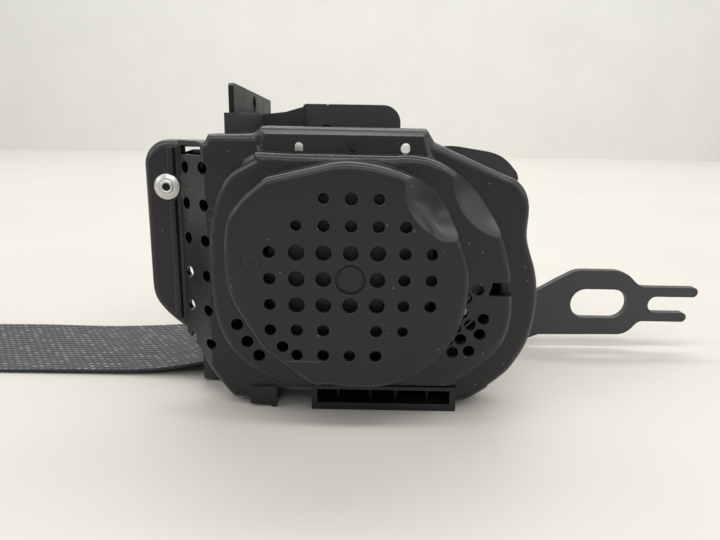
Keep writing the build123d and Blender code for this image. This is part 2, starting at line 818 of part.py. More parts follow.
# Spring side: cup and lid behind the dome, spiral spring, arbor
with BuildPart() as spring_cup:
    with BuildSketch(across(CUP_BACK)):
        Circle(CUP_R)
    extrude(amount=CUP_BACK - CUP_FRONT)
    fillet(spring_cup.faces().sort_by(Axis.Y)[0].edges(), CUP_EDGE_R)
    with BuildSketch(across(CUP_BACK)):
        Circle(CUP_R - CUP_WALL)
    extrude(amount=CUP_BACK - CUP_FRONT - CUP_WALL, mode=Mode.SUBTRACT)


def spiral(start_r, end_r, points_per_turn=18):
    """Points of the return spring's flat spiral round the spool axis."""
    count = SPRING_TURNS * points_per_turn
    step = (end_r - start_r) / count
    return [polar(start_r + step * i, 360.0 * i / points_per_turn) for i in range(count + 1)]


with BuildPart() as return_spring:
    with BuildSketch(across(SPRING_BACK)):
        with BuildLine():
            outer = spiral(ARBOR_R + 0.4 + SPRING_T, CUP_R - CUP_WALL - 0.05)
            inner = spiral(ARBOR_R + 0.4, CUP_R - CUP_WALL - 0.05 - SPRING_T)
            Polyline(*outer, *reversed(inner), close=True)
        make_face()
    extrude(amount=SPRING_BACK - BAR_FRONT)

with BuildPart() as spring_arbor:
    with BuildSketch(across(ARBOR_BACK)):
        Circle(ARBOR_R)
        Circle(BAR_STUB_R, mode=Mode.SUBTRACT)
        with Locations((ARBOR_R, 0.0)):
            Rectangle(1.6, 1.4, mode=Mode.SUBTRACT)
    extrude(amount=ARBOR_BACK - BAR_FRONT)


# Ball pretensioner: tube, balls, seal, gas canister, plug, lead, track and drive wheel
def draw_tube_line():
    """Centre line of the ball tube, from the canister round to its open end at the wheel."""
    high_x, high_z = HIGH_BEND
    low_x, low_z = LOW_BEND
    high_slant = HIGH_BEND_R * math.cos(math.pi / 4)
    low_slant = LOW_BEND_R * math.cos(math.pi / 4)
    Line((TUBE_IN, TUBE_TOP), (high_x, TUBE_TOP))
    ThreePointArc((high_x, TUBE_TOP), (high_x + high_slant, high_z + high_slant), (TUBE_RIGHT, high_z))
    Line((TUBE_RIGHT, high_z), (TUBE_RIGHT, low_z))
    ThreePointArc((TUBE_RIGHT, low_z), (low_x + low_slant, low_z - low_slant), (low_x, TUBE_LOW))
    Line((low_x, TUBE_LOW), TUBE_OUT)


with BuildPart() as tube_room:
    with BuildLine(across(TUBE_Y)) as room_line:
        draw_tube_line()
    with BuildSketch(side(TUBE_IN, TUBE_Y, TUBE_TOP)):
        Circle(TUBE_R + 0.05)
    sweep(path=room_line.line)

with BuildPart() as spring_lid:
    with BuildSketch(across(CUP_BACK + LID_T)):
        Circle(LID_R)
        Circle(BAR_STUB_R + 0.5, mode=Mode.SUBTRACT)
    extrude(amount=LID_T)
    with BuildSketch(across(TRACK_FRONT)):
        Circle(LID_R)
        Circle(TRACK_INNER_R + 0.2, mode=Mode.SUBTRACT)
    extrude(amount=TRACK_FRONT - CUP_BACK)
    with BuildSketch(across(TRACK_FRONT)):
        with Locations((0.5, LID_R)):
            Rectangle(31.0, 16.5)
    extrude(amount=TRACK_FRONT - CUP_BACK - LID_T, mode=Mode.SUBTRACT)
    add(tube_room.part, mode=Mode.SUBTRACT)
    with BuildSketch(across(CUP_BACK)):
        Circle(CUP_R + 2.0)
        Circle(CUP_R, mode=Mode.SUBTRACT)
    extrude(amount=2.0)

with BuildPart() as ball_tube:
    with BuildLine(across(TUBE_Y)) as tube_line:
        draw_tube_line()
    with BuildSketch(side(TUBE_IN, TUBE_Y, TUBE_TOP)):
        Circle(TUBE_R)
        Circle(TUBE_BORE_R, mode=Mode.SUBTRACT)
    sweep(path=tube_line.line)

tube_route = tube_line.wires()[0]

with BuildPart() as drive_balls:
    for number in range(BALL_COUNT):
        distance = tube_route.length - BALL_R - 1.2 - number * (2 * BALL_R + 0.06)
        with Locations(tube_route.position_at(distance, position_mode=PositionMode.LENGTH)):
            Sphere(BALL_R)

with BuildPart() as tube_seal:
    with BuildSketch(side(TUBE_IN + 1.9, TUBE_Y, TUBE_TOP)):
        Circle(TUBE_BORE_R)
    extrude(amount=3.2)

with BuildPart() as gas_canister:
    with BuildSketch(side(CANISTER_LEFT, TUBE_Y, TUBE_TOP)):
        Circle(CANISTER_R)
    extrude(amount=TUBE_IN - CANISTER_LEFT)
    with BuildSketch(side(TUBE_IN, TUBE_Y, TUBE_TOP)):
        Circle(TUBE_BORE_R)
    extrude(amount=1.8)
    with BuildSketch(side(CANISTER_LEFT + 5.6, TUBE_Y, TUBE_TOP)):
        Circle(CANISTER_R + 0.4)
        Circle(CANISTER_R - 0.4, mode=Mode.SUBTRACT)
    extrude(amount=1.2, mode=Mode.SUBTRACT)

with BuildPart() as canister_plug:
    with BuildSketch(side(PLUG_X - 3.0, TUBE_Y, TUBE_TOP)):
        Circle(CANISTER_R - 0.4)
    extrude(amount=6.0)
    with BuildSketch(level(TUBE_TOP, PLUG_X, TUBE_Y)):
        RectangleRounded(5.4, 6.0, 1.0)
    extrude(amount=PLUG_TOP - TUBE_TOP)
    with BuildSketch(across(LEAD_START + 4.0, PLUG_X, LEAD_Z)):
        Circle(LEAD_R + 0.1)
    extrude(amount=4.0, mode=Mode.SUBTRACT)

with BuildPart() as igniter_lead:
    with BuildLine() as lead_line:
        Spline(
            place(PLUG_X, LEAD_START, LEAD_Z),
            place(-10.7, 17.0, LEAD_Z + 0.1),
            place(-9.6, 23.0, 35.9),
            place(-9.0, BLOCK_FRONT, 37.4),
            place(-9.0, BLOCK_FRONT + 5.9, 37.5),
            tangents=((0, 1, 0), (0, 1, 0)),
        )
    with BuildSketch(across(LEAD_START, PLUG_X, LEAD_Z)):
        Circle(LEAD_R)
    sweep(path=lead_line.line)

with BuildPart() as track_housing:
    with BuildSketch(across(WALL_FRONT)):
        Circle(TRACK_R)
        Circle(JOURNAL_R + 0.6, mode=Mode.SUBTRACT)
    extrude(amount=WALL_FRONT - TRACK_FRONT)
    with BuildSketch(across(TRACK_FLOOR)):
        Circle(TRACK_INNER_R)
    extrude(amount=12.0, mode=Mode.SUBTRACT)
    add(tube_room.part, mode=Mode.SUBTRACT)
    with BuildSketch(across(TRACK_FLOOR + 0.05)):
        with Locations((0.5, 27.2)):
            Rectangle(30.0, 12.2)
    extrude(amount=12.0, mode=Mode.SUBTRACT)

with BuildPart() as drive_wheel:
    with BuildSketch(across(WHEEL_FRONT + WHEEL_T)):
        Circle(WHEEL_R)
        with PolarLocations(BALL_PATH_R, WHEEL_POCKETS):
            Circle(BALL_R + 0.1, mode=Mode.SUBTRACT)
        Circle(JOURNAL_R + RUN_CLEAR, mode=Mode.SUBTRACT)
    extrude(amount=WHEEL_T)
    with BuildSketch(across(WHEEL_FRONT + 2.6)):
        Circle(15.0)
        Circle(10.6, mode=Mode.SUBTRACT)
    extrude(amount=2.8, mode=Mode.SUBTRACT)

# Spool, front bush, torsion bar and the wound belt
with BuildPart() as front_bush:
    with BuildSketch(across(SPOOL_FRONT - 0.7)):
        Circle(FRONT_BUSH_R)
        Circle(JOURNAL_R + RUN_CLEAR, mode=Mode.SUBTRACT)
    extrude(amount=SPOOL_FRONT - 0.7 - WALL_FRONT)

with BuildPart() as spool:
    with BuildSketch(across(SPOOL_FRONT)):
        Circle(JOURNAL_R)
    extrude(amount=SPOOL_FRONT - WHEEL_FRONT + 0.7)
    with BuildSketch(across(SPOOL_FRONT + FLANGE_T)):
        Circle(FLANGE_R)
    extrude(amount=FLANGE_T)
    with BuildSketch(across(SPOOL_BACK)):
        Circle(FLANGE_R)
        with PolarLocations(22.0, 6):
            Circle(3.4, mode=Mode.SUBTRACT)
    extrude(amount=FLANGE_T)
    with BuildSketch(across(SPOOL_BACK - FLANGE_T)):
        Circle(CORE_R)
        with PolarLocations(CORE_R, 6):
            Rectangle(3.0, 2.2, mode=Mode.SUBTRACT)
    extrude(amount=SPOOL_BACK - SPOOL_FRONT - 2 * FLANGE_T)
    with BuildSketch(across(SPOOL_BACK + 0.7)):
        Circle(HUB_R)
    extrude(amount=0.7)
    with BuildSketch(across(SPOOL_BACK + 0.7)):
        Circle(BAR_END_R)
    extrude(amount=SPOOL_BACK + 0.7 - BAR_STEP, mode=Mode.SUBTRACT)
    with BuildSketch(across(BAR_STEP)):
        Circle(BAR_STUB_R)
    extrude(amount=BAR_STEP, mode=Mode.SUBTRACT)

with BuildPart() as torsion_bar:
    with BuildSketch(across(BAR_STEP)):
        Circle(BAR_STUB_R)
    extrude(amount=BAR_STEP - BAR_FRONT)
    with BuildSketch(across(BAR_STEP + 8.0)):
        Circle(BAR_END_R)
    extrude(amount=8.0)
    with BuildSketch(across(BAR_THICKENS)):
        Circle(BAR_MID_R)
    extrude(amount=BAR_THICKENS - BAR_STEP - 8.0)
    with BuildSketch(across(COVER_FLOOR - 2.2)):
        Circle(BAR_END_R)
    extrude(amount=COVER_FLOOR - 2.2 - BAR_THICKENS)

with BuildPart() as webbing_roll:
    with BuildSketch(across(BELT_BACK - 0.2)):
        Circle(ROLL_R)
        Circle(CORE_R + GAP, mode=Mode.SUBTRACT)
    extrude(amount=BELT_WIDTH - 0.4)


# Locking side: base, pawl, control disc, inertia disc
def turned(point, centre, degrees):
    """Turn a point round a centre, counterclockwise as seen from the front."""
    turn = math.radians(degrees)
    dx = point[0] - centre[0]
    dz = point[1] - centre[1]
    return (
        centre[0] + dx * math.cos(turn) - dz * math.sin(turn),
        centre[1] + dx * math.sin(turn) + dz * math.cos(turn),
    )


def pawl_pin_at(swing, lag):
    """Place of the pawl's pin after a swing, seen by a disc that lags behind the spool."""
    swung = turned(polar(*PAWL_PIN), polar(*PAWL_PIVOT), swing)
    return turned(swung, (0.0, 0.0), -lag)


with BuildPart() as lock_base:
    with BuildSketch(across(BASE_BACK)):
        Circle(BASE_R)
        for step in range(5):
            with Locations(pawl_pin_at(PAWL_SWING * step / 4, 0.0)):
                Circle(PAWL_PIN_R + 0.3, mode=Mode.SUBTRACT)
    extrude(amount=BASE_BACK - BASE_FRONT)
    with BuildSketch(across(BASE_FRONT)):
        Circle(HUB_R)
        with Locations(polar(*PAWL_PIVOT)):
            Circle(PAWL_PIVOT_R)
    extrude(amount=BASE_FRONT - REAR_FRONT)
    with BuildSketch(across(REAR_FRONT)):
        Circle(HUB_R)
    extrude(amount=REAR_FRONT - SPOOL_BACK - 0.7)
    with BuildSketch(across(BASE_BACK)):
        Circle(BAR_END_R)
    extrude(amount=BASE_BACK - SPOOL_BACK, mode=Mode.SUBTRACT)

# Pawl outline in the locked place: tip in a tooth gap, then turned back to its rest
PAWL_OUTLINE = [
    (25.3, 274.0),
    (25.3, 276.0),
    (23.5, 278.0),
    (23.4, 295.0),
    (22.4, 312.0),
    (20.0, 328.0),
    (16.0, 336.0),
    (12.2, 330.0),
    (13.6, 312.0),
    (15.6, 292.0),
    (17.4, 278.0),
    (21.0, 273.0),
    (23.5, 272.4),
]

with BuildPart() as lock_pawl:
    with BuildSketch(across(PAWL_BACK)):
        with BuildLine():
            rest = [turned(polar(*p), polar(*PAWL_PIVOT), -PAWL_SWING) for p in PAWL_OUTLINE]
            Polyline(*rest, close=True)
        make_face()
        with Locations(polar(*PAWL_PIVOT)):
            Circle(PAWL_PIVOT_R + RUN_CLEAR, mode=Mode.SUBTRACT)
    extrude(amount=PAWL_BACK - PAWL_FRONT)
    with BuildSketch(across(DISC_BACK - 0.4)):
        with Locations(polar(*PAWL_PIN)):
            Circle(PAWL_PIN_R)
    extrude(amount=DISC_BACK - 0.4 - PAWL_BACK)

with BuildPart() as control_disc:
    with BuildSketch(across(DISC_BACK)):
        Circle(DISC_R)
        with PolarLocations(DISC_R - 0.4, RING_TEETH):
            Polygon((0.0, -0.3), (DISC_TEETH_R - DISC_R + 0.4, 0.0), (0.0, 0.9), align=None)
        Circle(BAR_END_R + RUN_CLEAR, mode=Mode.SUBTRACT)
        with PolarLocations(12.4, 5, start_angle=54.0):
            Circle(2.6, mode=Mode.SUBTRACT)
        for step in range(9):
            with Locations(pawl_pin_at(PAWL_SWING * step / 8, DISC_LAG * step / 8)):
                Circle(PAWL_PIN_R + 0.3, mode=Mode.SUBTRACT)
    extrude(amount=DISC_BACK - DISC_FRONT)
    with BuildSketch(across(INERTIA_BACK - 0.4)):
        with Locations((0.0, STOP_PIN_AT)):
            Circle(STOP_PIN_R)
    extrude(amount=INERTIA_BACK - 0.4 - DISC_BACK)

with BuildPart() as inertia_disc:
    with BuildSketch(across(INERTIA_BACK)):
        Circle(INERTIA_R)
        Circle(BAR_END_R + RUN_CLEAR, mode=Mode.SUBTRACT)
        with Locations((0.0, STOP_PIN_AT + 0.6)):
            Rectangle(4.0 * STOP_PIN_R, 4.0, mode=Mode.SUBTRACT)
        with Locations((0.0, -9.6)):
            SlotOverall(9.0, 2.4, mode=Mode.SUBTRACT)
    extrude(amount=INERTIA_BACK - DISC_BACK - 0.6)

# Vehicle sensor: cage, ball and lever on the side that is lowest in the car
with BuildPart() as sensor_housing:
    with BuildSketch(level(-10.0)):
        with Locations(((CAGE_LEFT + CAGE_RIGHT) / 2, (CAGE_FRONT + COVER_FLOOR) / 2)):
            Rectangle(CAGE_RIGHT - CAGE_LEFT, COVER_FLOOR - CAGE_FRONT)
        with Locations(((CAGE_LEFT + CAGE_RIGHT - 2.6) / 2, BALL_CENTRE[1])):
            Rectangle(CAGE_RIGHT - CAGE_LEFT - 2.6, 10.4, mode=Mode.SUBTRACT)
    extrude(amount=20.0)
    with BuildSketch(side(DISH_X, BALL_CENTRE[1])):
        Rectangle(11.0, 11.4)
    extrude(amount=CAGE_RIGHT - 2.2 - DISH_X)
    with BuildSketch(across(COVER_FLOOR)):
        with Locations(LEVER_PIVOT):
            Circle(LEVER_PIN_R + RUN_CLEAR)
    extrude(amount=COVER_FLOOR - CAGE_FRONT, mode=Mode.SUBTRACT)
    with Locations(place(BALL_CENTRE[0], BALL_CENTRE[1], 0.0)):
        Sphere(SENSOR_BALL_R + 0.1, rotation=(0, 90, 0), mode=Mode.SUBTRACT)

with BuildPart() as sensor_ball:
    with Locations(place(BALL_CENTRE[0], BALL_CENTRE[1], 0.0)):
        Sphere(SENSOR_BALL_R)

with BuildPart() as sensor_lever:
    with BuildSketch(across(CAGE_FRONT + 8.0)):
        with BuildLine():
            Polyline(*[(LEVER_PIVOT[0] + x, LEVER_PIVOT[1] + z) for x, z in LEVER_OUTLINE], close=True)
        make_face()
    extrude(amount=6.4)
    with BuildSketch(across(COVER_FLOOR - 0.2)):
        with Locations(LEVER_PIVOT):
            Circle(LEVER_PIN_R)
    extrude(amount=COVER_FLOOR - 0.4 - CAGE_FRONT)

# Rear cover with its bush, sensor bulge, four ears and screws
with BuildPart() as rear_bush:
    with BuildSketch(across(COVER_FLOOR)):
        Circle(BUSH_R)
        Circle(BAR_END_R + RUN_CLEAR, mode=Mode.SUBTRACT)
    extrude(amount=COVER_FLOOR - BUSH_FRONT)


def cover_profile(inset):
    """Draw the rear cover's outline: a round with the sensor's bulge on the right."""
    Circle(REAR_COVER_R - inset)
    with Locations(((7.0 + BULGE_RIGHT) / 2, 0.0)):
        Rectangle(BULGE_RIGHT - 7.0 - 2 * inset, 2 * (BULGE_HALF - inset))


with BuildPart() as rear_cover:
    with BuildSketch(across(REAR_COVER_BACK)):
        cover_profile(0.0)
    extrude(amount=REAR_COVER_BACK - REAR_BACK)
    fillet(rear_cover.faces().sort_by(Axis.Y)[-1].edges(), 1.5)
    with BuildSketch(across(REAR_BACK + TAB_T)):
        for x, z in SCREWS:
            with Locations((x, z), (x * 0.86, z * 0.86)):
                Circle(TAB_R)
    extrude(amount=TAB_T)
    with BuildSketch(across(COVER_FLOOR)):
        cover_profile(COVER_WALL)
    extrude(amount=COVER_FLOOR - REAR_BACK, mode=Mode.SUBTRACT)
    with BuildSketch(across(COVER_FLOOR)):
        Circle(BUSH_R + 1.6)
        Circle(BUSH_R, mode=Mode.SUBTRACT)
    extrude(amount=COVER_FLOOR - BUSH_FRONT)
    with BuildSketch(across(REAR_COVER_BACK + 1.0)):
        Circle(13.0)
        Circle(11.0, mode=Mode.SUBTRACT)
        with PolarLocations(20.2, 6):
            SlotOverall(13.0, 1.8)
    extrude(amount=1.0)
    with BuildSketch(across(REAR_BACK + TAB_T)):
        with Locations(*SCREWS):
            Circle(SCREW_R)
    extrude(amount=TAB_T, mode=Mode.SUBTRACT)

with BuildPart() as cover_screws:
    with BuildSketch(across(REAR_BACK + TAB_T)):
        with Locations(*SCREWS):
            Circle(SCREW_R)
    extrude(amount=REAR_BACK + TAB_T - REAR_FRONT + 0.6)
    with BuildSketch(across(REAR_BACK + TAB_T + 1.8)):
        with Locations(*SCREWS):
            Circle(2.9)
            RegularPolygon(1.4, 6, mode=Mode.SUBTRACT)
    extrude(amount=1.8)
    with BuildSketch(across(REAR_BACK + TAB_T + 0.5)):
        with Locations(*SCREWS):
            Circle(2.0)
    extrude(amount=0.5)

# Connector carrier on the frame: block with a socket at the back, neck and lug sleeve
with BuildPart() as connector_carrier:
    with BuildSketch(across(BLOCK_BACK)):
        with BuildLine():
            Polyline((BLOCK_LEFT, TOP_Z), (BLOCK_LEFT, BLOCK_TOP - 1.5))
            ThreePointArc(
                (BLOCK_LEFT, BLOCK_TOP - 1.5),
                (BLOCK_LEFT + 0.44, BLOCK_TOP - 0.44),
                (BLOCK_LEFT + 1.5, BLOCK_TOP),
            )
            Polyline((BLOCK_LEFT + 1.5, BLOCK_TOP), (-8.9, BLOCK_TOP), (-8.5, BLOCK_TOP - 0.5))
            Polyline((-8.5, BLOCK_TOP - 0.5), (-8.1, BLOCK_TOP), (BLOCK_RIGHT - 5.5, BLOCK_TOP))
            ThreePointArc(
                (BLOCK_RIGHT - 5.5, BLOCK_TOP),
                (BLOCK_RIGHT - 1.61, BLOCK_TOP - 1.61),
                (BLOCK_RIGHT, BLOCK_TOP - 5.5),
            )
            Polyline((BLOCK_RIGHT, BLOCK_TOP - 5.5), (BLOCK_RIGHT, TOP_Z), (BLOCK_LEFT, TOP_Z))
        make_face()
    extrude(amount=BLOCK_BACK - BLOCK_FRONT)
    with BuildSketch(level(TOP_Z, BLOCK_LEFT, BLOCK_FRONT)):
        Rectangle(8.0, 8.0)
        with Locations((4.0, 4.0)):
            Circle(4.0, mode=Mode.SUBTRACT)
        with Locations((4.0, -4.0)):
            Rectangle(8.0, 8.0, mode=Mode.SUBTRACT)
        with Locations((-4.0, 4.0)):
            Rectangle(8.0, 8.0, mode=Mode.SUBTRACT)
    extrude(amount=20.0, mode=Mode.SUBTRACT)
    with BuildSketch(across(BLOCK_BACK + 16.0)):
        with BuildLine():
            Polyline((-34.5, 34.6), (BLOCK_LEFT + 0.7, 34.6), (BLOCK_LEFT + 0.7, 45.6), (-20.0, 45.4))
            Polyline((-20.0, 45.4), (-26.0, 43.6), (-31.0, 43.0), (-34.5, 42.6), (-34.5, 34.6))
        make_face()
    extrude(amount=24.0)
    with BuildSketch(across(SLEEVE_BACK)):
        with BuildLine():
            Polyline((-38.9, TOP_Z), (-38.9, 42.6), (-34.4, 42.6), (-34.4, TOP_Z), close=True)
        make_face()
    extrude(amount=SLEEVE_BACK - WALL_FRONT - 0.5)
    with BuildSketch(level(TOP_Z - 1.0)):
        with Locations((LUG_X + LUG_T / 2, (LUG_NEAR + 100.0) / 2)):
            Rectangle(LUG_T + 0.3, 100.0 - LUG_NEAR + 0.3)
    extrude(amount=20.0, mode=Mode.SUBTRACT)
    with BuildSketch(across(BLOCK_BACK)):
        with Locations((-1.0, 38.5)):
            RectangleRounded(16.0, 8.0, 1.5)
    extrude(amount=SOCKET_DEPTH, mode=Mode.SUBTRACT)
    with BuildSketch(across(BLOCK_BACK)):
        with Locations((-3.5, 38.5), (1.5, 38.5)):
            Circle(CONTACT_R)
    extrude(amount=SOCKET_DEPTH + 4.0, mode=Mode.SUBTRACT)
    with BuildSketch(across(BLOCK_FRONT + 6.0)):
        with Locations((-9.0, 37.5)):
            Circle(LEAD_R + 0.6)
    extrude(amount=8.0, mode=Mode.SUBTRACT)

with BuildPart() as contact_pins:
    with BuildSketch(across(BLOCK_BACK - 4.0)):
        with Locations((-3.5, 38.5), (1.5, 38.5)):
            Circle(CONTACT_R)
    extrude(amount=SOCKET_DEPTH)

# Belt guide between the walls, where the belt leaves the retractor
with BuildPart() as webbing_guide:
    with BuildSketch(side(-49.0)):
        with BuildLine():
            Polyline((WALL_BACK, -43.8), (WALL_BACK, -31.0), (REAR_FRONT, -31.0))
            Polyline((REAR_FRONT, -31.0), (REAR_FRONT, -43.8), (WALL_BACK, -43.8))
        make_face()
    extrude(amount=6.0)
    with BuildSketch(
        Plane(
            origin=(SPOOL_X - 46.0, COVER_Y + BELT_MID, SPOOL_Z - 38.9),
            x_dir=(0, 1, 0),
            z_dir=(-0.984, 0, -0.179),
        )
    ):
        Rectangle(SLOT_ROOM - 1.5, BELT_THICK + 2.0)
    extrude(amount=8.0, both=True, mode=Mode.SUBTRACT)


def fold(x, start, end, way):
    """Draw a half turn of the belt between two heights; way is 1 for right and -1 for left."""
    ThreePointArc((x, start), (x + way * (end - start) / 2, (start + end) / 2), (x, end))


def sink(x, start, end_x, end):
    """Draw the belt easing down from one level run to the next."""
    middle = (x + end_x) / 2
    Bezier((x, start), (middle, start), (middle, end), (end_x, end))


def ribbon(edges, half):
    """Outline of a strip of the belt's thickness along the centre line's edges."""
    upper = []
    lower = []
    for edge in edges:
        steps = 1 if edge.geom_type == GeomType.LINE else 10
        for i in range(1 if upper else 0, steps + 1):
            point = edge.position_at(i / steps)
            along = edge.tangent_at(i / steps)
            x = point.X - SPOOL_X
            z = point.Z - SPOOL_Z
            upper.append((x - along.Z * half, z + along.X * half))
            lower.append((x + along.Z * half, z - along.X * half))
    return upper + lower[::-1]


# Belt from the roll over the table to its folded stack, round the tongue and the anchor plate
with BuildPart() as webbing_run:
    with BuildLine(across(BELT_MID)) as belt_line:
        Line((4.5, -29.7), (-46.0, -38.9))
        Spline(
            (-46.0, -38.9),
            (-52.0, -40.0),
            (-60.0, -41.5),
            (-68.0, -42.7),
            (-80.0, -43.6),
            (-95.0, -43.95),
            (-110.0, FLAT),
            tangents=((-0.984, -0.179), (-1, 0)),
        )
        Line((-110.0, FLAT), (-260.0, FLAT))
        fold(-260.0, FLAT, FLAT + LAYER, -1)
        Line((-260.0, FLAT + LAYER), (-172.0, FLAT + LAYER))
        fold(-172.0, FLAT + LAYER, FLAT + 2 * LAYER, 1)
        Line((-172.0, FLAT + 2 * LAYER), (-258.0, FLAT + 2 * LAYER))
        fold(-258.0, FLAT + 2 * LAYER, FLAT + 3 * LAYER, -1)
        Line((-258.0, FLAT + 3 * LAYER), (-174.0, FLAT + 3 * LAYER))
        fold(-174.0, FLAT + 3 * LAYER, TONGUE_Z - TONGUE_FOLD, 1)
        Line((-174.0, TONGUE_Z - TONGUE_FOLD), (TONGUE_BAR_X, TONGUE_Z - TONGUE_FOLD))
        fold(TONGUE_BAR_X, TONGUE_Z - TONGUE_FOLD, TONGUE_Z + TONGUE_FOLD, -1)
        Line((TONGUE_BAR_X, TONGUE_Z + TONGUE_FOLD), (-217.5, TONGUE_Z + TONGUE_FOLD))
        sink(-217.5, TONGUE_Z + TONGUE_FOLD, -203.0, TONGUE_Z - 1.6)
        Line((-203.0, TONGUE_Z - 1.6), (-172.0, TONGUE_Z - 1.6))
        fold(-172.0, TONGUE_Z - 1.6, ANCHOR_Z - ANCHOR_FOLD, 1)
        Line((-172.0, ANCHOR_Z - ANCHOR_FOLD), (ANCHOR_BAR_X, ANCHOR_Z - ANCHOR_FOLD))
        fold(ANCHOR_BAR_X, ANCHOR_Z - ANCHOR_FOLD, ANCHOR_Z + ANCHOR_FOLD, -1)
        Line((ANCHOR_BAR_X, ANCHOR_Z + ANCHOR_FOLD), (-201.5, ANCHOR_Z + ANCHOR_FOLD))
        sink(-201.5, ANCHOR_Z + ANCHOR_FOLD, -193.0, SEWN_Z)
        Line((-193.0, SEWN_Z), (-176.0, SEWN_Z))
    with BuildSketch(across(BELT_BACK)):
        with BuildLine():
            Polyline(*ribbon(belt_line.edges(), BELT_THICK / 2), close=True)
        make_face()
    extrude(amount=BELT_WIDTH)

# Tongue: steel plate and its moulded grip
with BuildPart() as tongue_plate:
    with BuildSketch(level(TONGUE_Z - TONGUE_STEEL / 2, TONGUE_BAR_X, BELT_MID)):
        with Locations((-5.7, 0.0)):
            RectangleRounded(22.6, SLOT_ROOM + 8.5, 4.0)
            Rectangle(8.4, SLOT_ROOM + 2.0, mode=Mode.SUBTRACT)
        with Locations((-36.0, 0.0)):
            RectangleRounded(40.0, 24.0, 5.0)
            with Locations((-1.0, 0.0)):
                RectangleRounded(10.0, 12.0, 2.0, mode=Mode.SUBTRACT)
    extrude(amount=TONGUE_STEEL)

with BuildPart() as tongue_grip:
    with BuildSketch(level(TONGUE_Z - TONGUE_T / 2, TONGUE_BAR_X, BELT_MID)):
        with Locations((-6.25, 0.0)):
            RectangleRounded(27.5, SLOT_ROOM + 12.5, 5.0)
    extrude(amount=TONGUE_T)
    chamfer(tongue_grip.faces().sort_by(Axis.Z)[-1].edges(), 0.6)
    chamfer(tongue_grip.faces().sort_by(Axis.Z)[0].edges(), 0.6)
    with BuildSketch(level(TONGUE_Z - TONGUE_T / 2, TONGUE_BAR_X, BELT_MID)):
        with Locations((-4.9, 0.0)):
            Rectangle(6.2, SLOT_ROOM, mode=Mode.ADD)
    extrude(amount=TONGUE_T, mode=Mode.SUBTRACT)
    add(tongue_plate.part, mode=Mode.SUBTRACT)

# Lower anchor plate with its bolt hole
with BuildPart() as anchor_plate:
    with BuildSketch(level(ANCHOR_Z - ANCHOR_T / 2, ANCHOR_BAR_X, BELT_MID)):
        with BuildLine():
            Polyline((2.8, -28.0), (2.8, 28.0), (-9.0, 28.0), (-33.4, 11.2))
            ThreePointArc((-33.4, 11.2), (-40.6, 0.0), (-33.4, -11.2))
            Polyline((-33.4, -11.2), (-9.0, -28.0), (2.8, -28.0))
        make_face()
        with Locations((-3.4, 0.0)):
            Rectangle(3.6, SLOT_ROOM, mode=Mode.SUBTRACT)
        with Locations((-27.0, 0.0)):
            Circle(5.6, mode=Mode.SUBTRACT)
    extrude(amount=ANCHOR_T)

# Labels and files
front_cover.part.label = "front_cover"
export_step(front_cover.part, "parts/front_cover.step")
blind_rivet.part.label = "blind_rivet"
export_step(blind_rivet.part, "parts/blind_rivet.step")
frame.part.label = "frame"
export_step(frame.part, "parts/frame.step")
lug_plate.part.label = "lug_plate"
export_step(lug_plate.part, "parts/lug_plate.step")
tie_rods.part.label = "tie_rods"
export_step(tie_rods.part, "parts/tie_rods.step")
mounting_bracket.part.label = "mounting_bracket"
export_step(mounting_bracket.part, "parts/mounting_bracket.step")
bracket_rivets.part.label = "bracket_rivets"
export_step(bracket_rivets.part, "parts/bracket_rivets.step")
spring_cup.part.label = "spring_cup"
export_step(spring_cup.part, "parts/spring_cup.step")
spring_lid.part.label = "spring_lid"
export_step(spring_lid.part, "parts/spring_lid.step")
return_spring.part.label = "return_spring"
export_step(return_spring.part, "parts/return_spring.step")
spring_arbor.part.label = "spring_arbor"
export_step(spring_arbor.part, "parts/spring_arbor.step")
ball_tube.part.label = "ball_tube"
export_step(ball_tube.part, "parts/ball_tube.step")
drive_balls.part.label = "drive_balls"
export_step(drive_balls.part, "parts/drive_balls.step")
tube_seal.part.label = "tube_seal"
export_step(tube_seal.part, "parts/tube_seal.step")
gas_canister.part.label = "gas_canister"
export_step(gas_canister.part, "parts/gas_canister.step")
canister_plug.part.label = "canister_plug"
export_step(canister_plug.part, "parts/canister_plug.step")
igniter_lead.part.label = "igniter_lead"
export_step(igniter_lead.part, "parts/igniter_lead.step")
track_housing.part.label = "track_housing"
export_step(track_housing.part, "parts/track_housing.step")
drive_wheel.part.label = "drive_wheel"
export_step(drive_wheel.part, "parts/drive_wheel.step")
front_bush.part.label = "front_bush"
export_step(front_bush.part, "parts/front_bush.step")
spool.part.label = "spool"
export_step(spool.part, "parts/spool.step")
torsion_bar.part.label = "torsion_bar"
export_step(torsion_bar.part, "parts/torsion_bar.step")
webbing_roll.part.label = "webbing_roll"
export_step(webbing_roll.part, "parts/webbing_roll.step")
lock_base.part.label = "lock_base"
export_step(lock_base.part, "parts/lock_base.step")
lock_pawl.part.label = "lock_pawl"
export_step(lock_pawl.part, "parts/lock_pawl.step")
control_disc.part.label = "control_disc"
export_step(control_disc.part, "parts/control_disc.step")
inertia_disc.part.label = "inertia_disc"
export_step(inertia_disc.part, "parts/inertia_disc.step")
sensor_housing.part.label = "sensor_housing"
export_step(sensor_housing.part, "parts/sensor_housing.step")
sensor_ball.part.label = "sensor_ball"
export_step(sensor_ball.part, "parts/sensor_ball.step")
sensor_lever.part.label = "sensor_lever"
export_step(sensor_lever.part, "parts/sensor_lever.step")
rear_bush.part.label = "rear_bush"
export_step(rear_bush.part, "parts/rear_bush.step")
rear_cover.part.label = "rear_cover"
export_step(rear_cover.part, "parts/rear_cover.step")
cover_screws.part.label = "cover_screws"
export_step(cover_screws.part, "parts/cover_screws.step")
connector_carrier.part.label = "connector_carrier"
export_step(connector_carrier.part, "parts/connector_carrier.step")
contact_pins.part.label = "contact_pins"
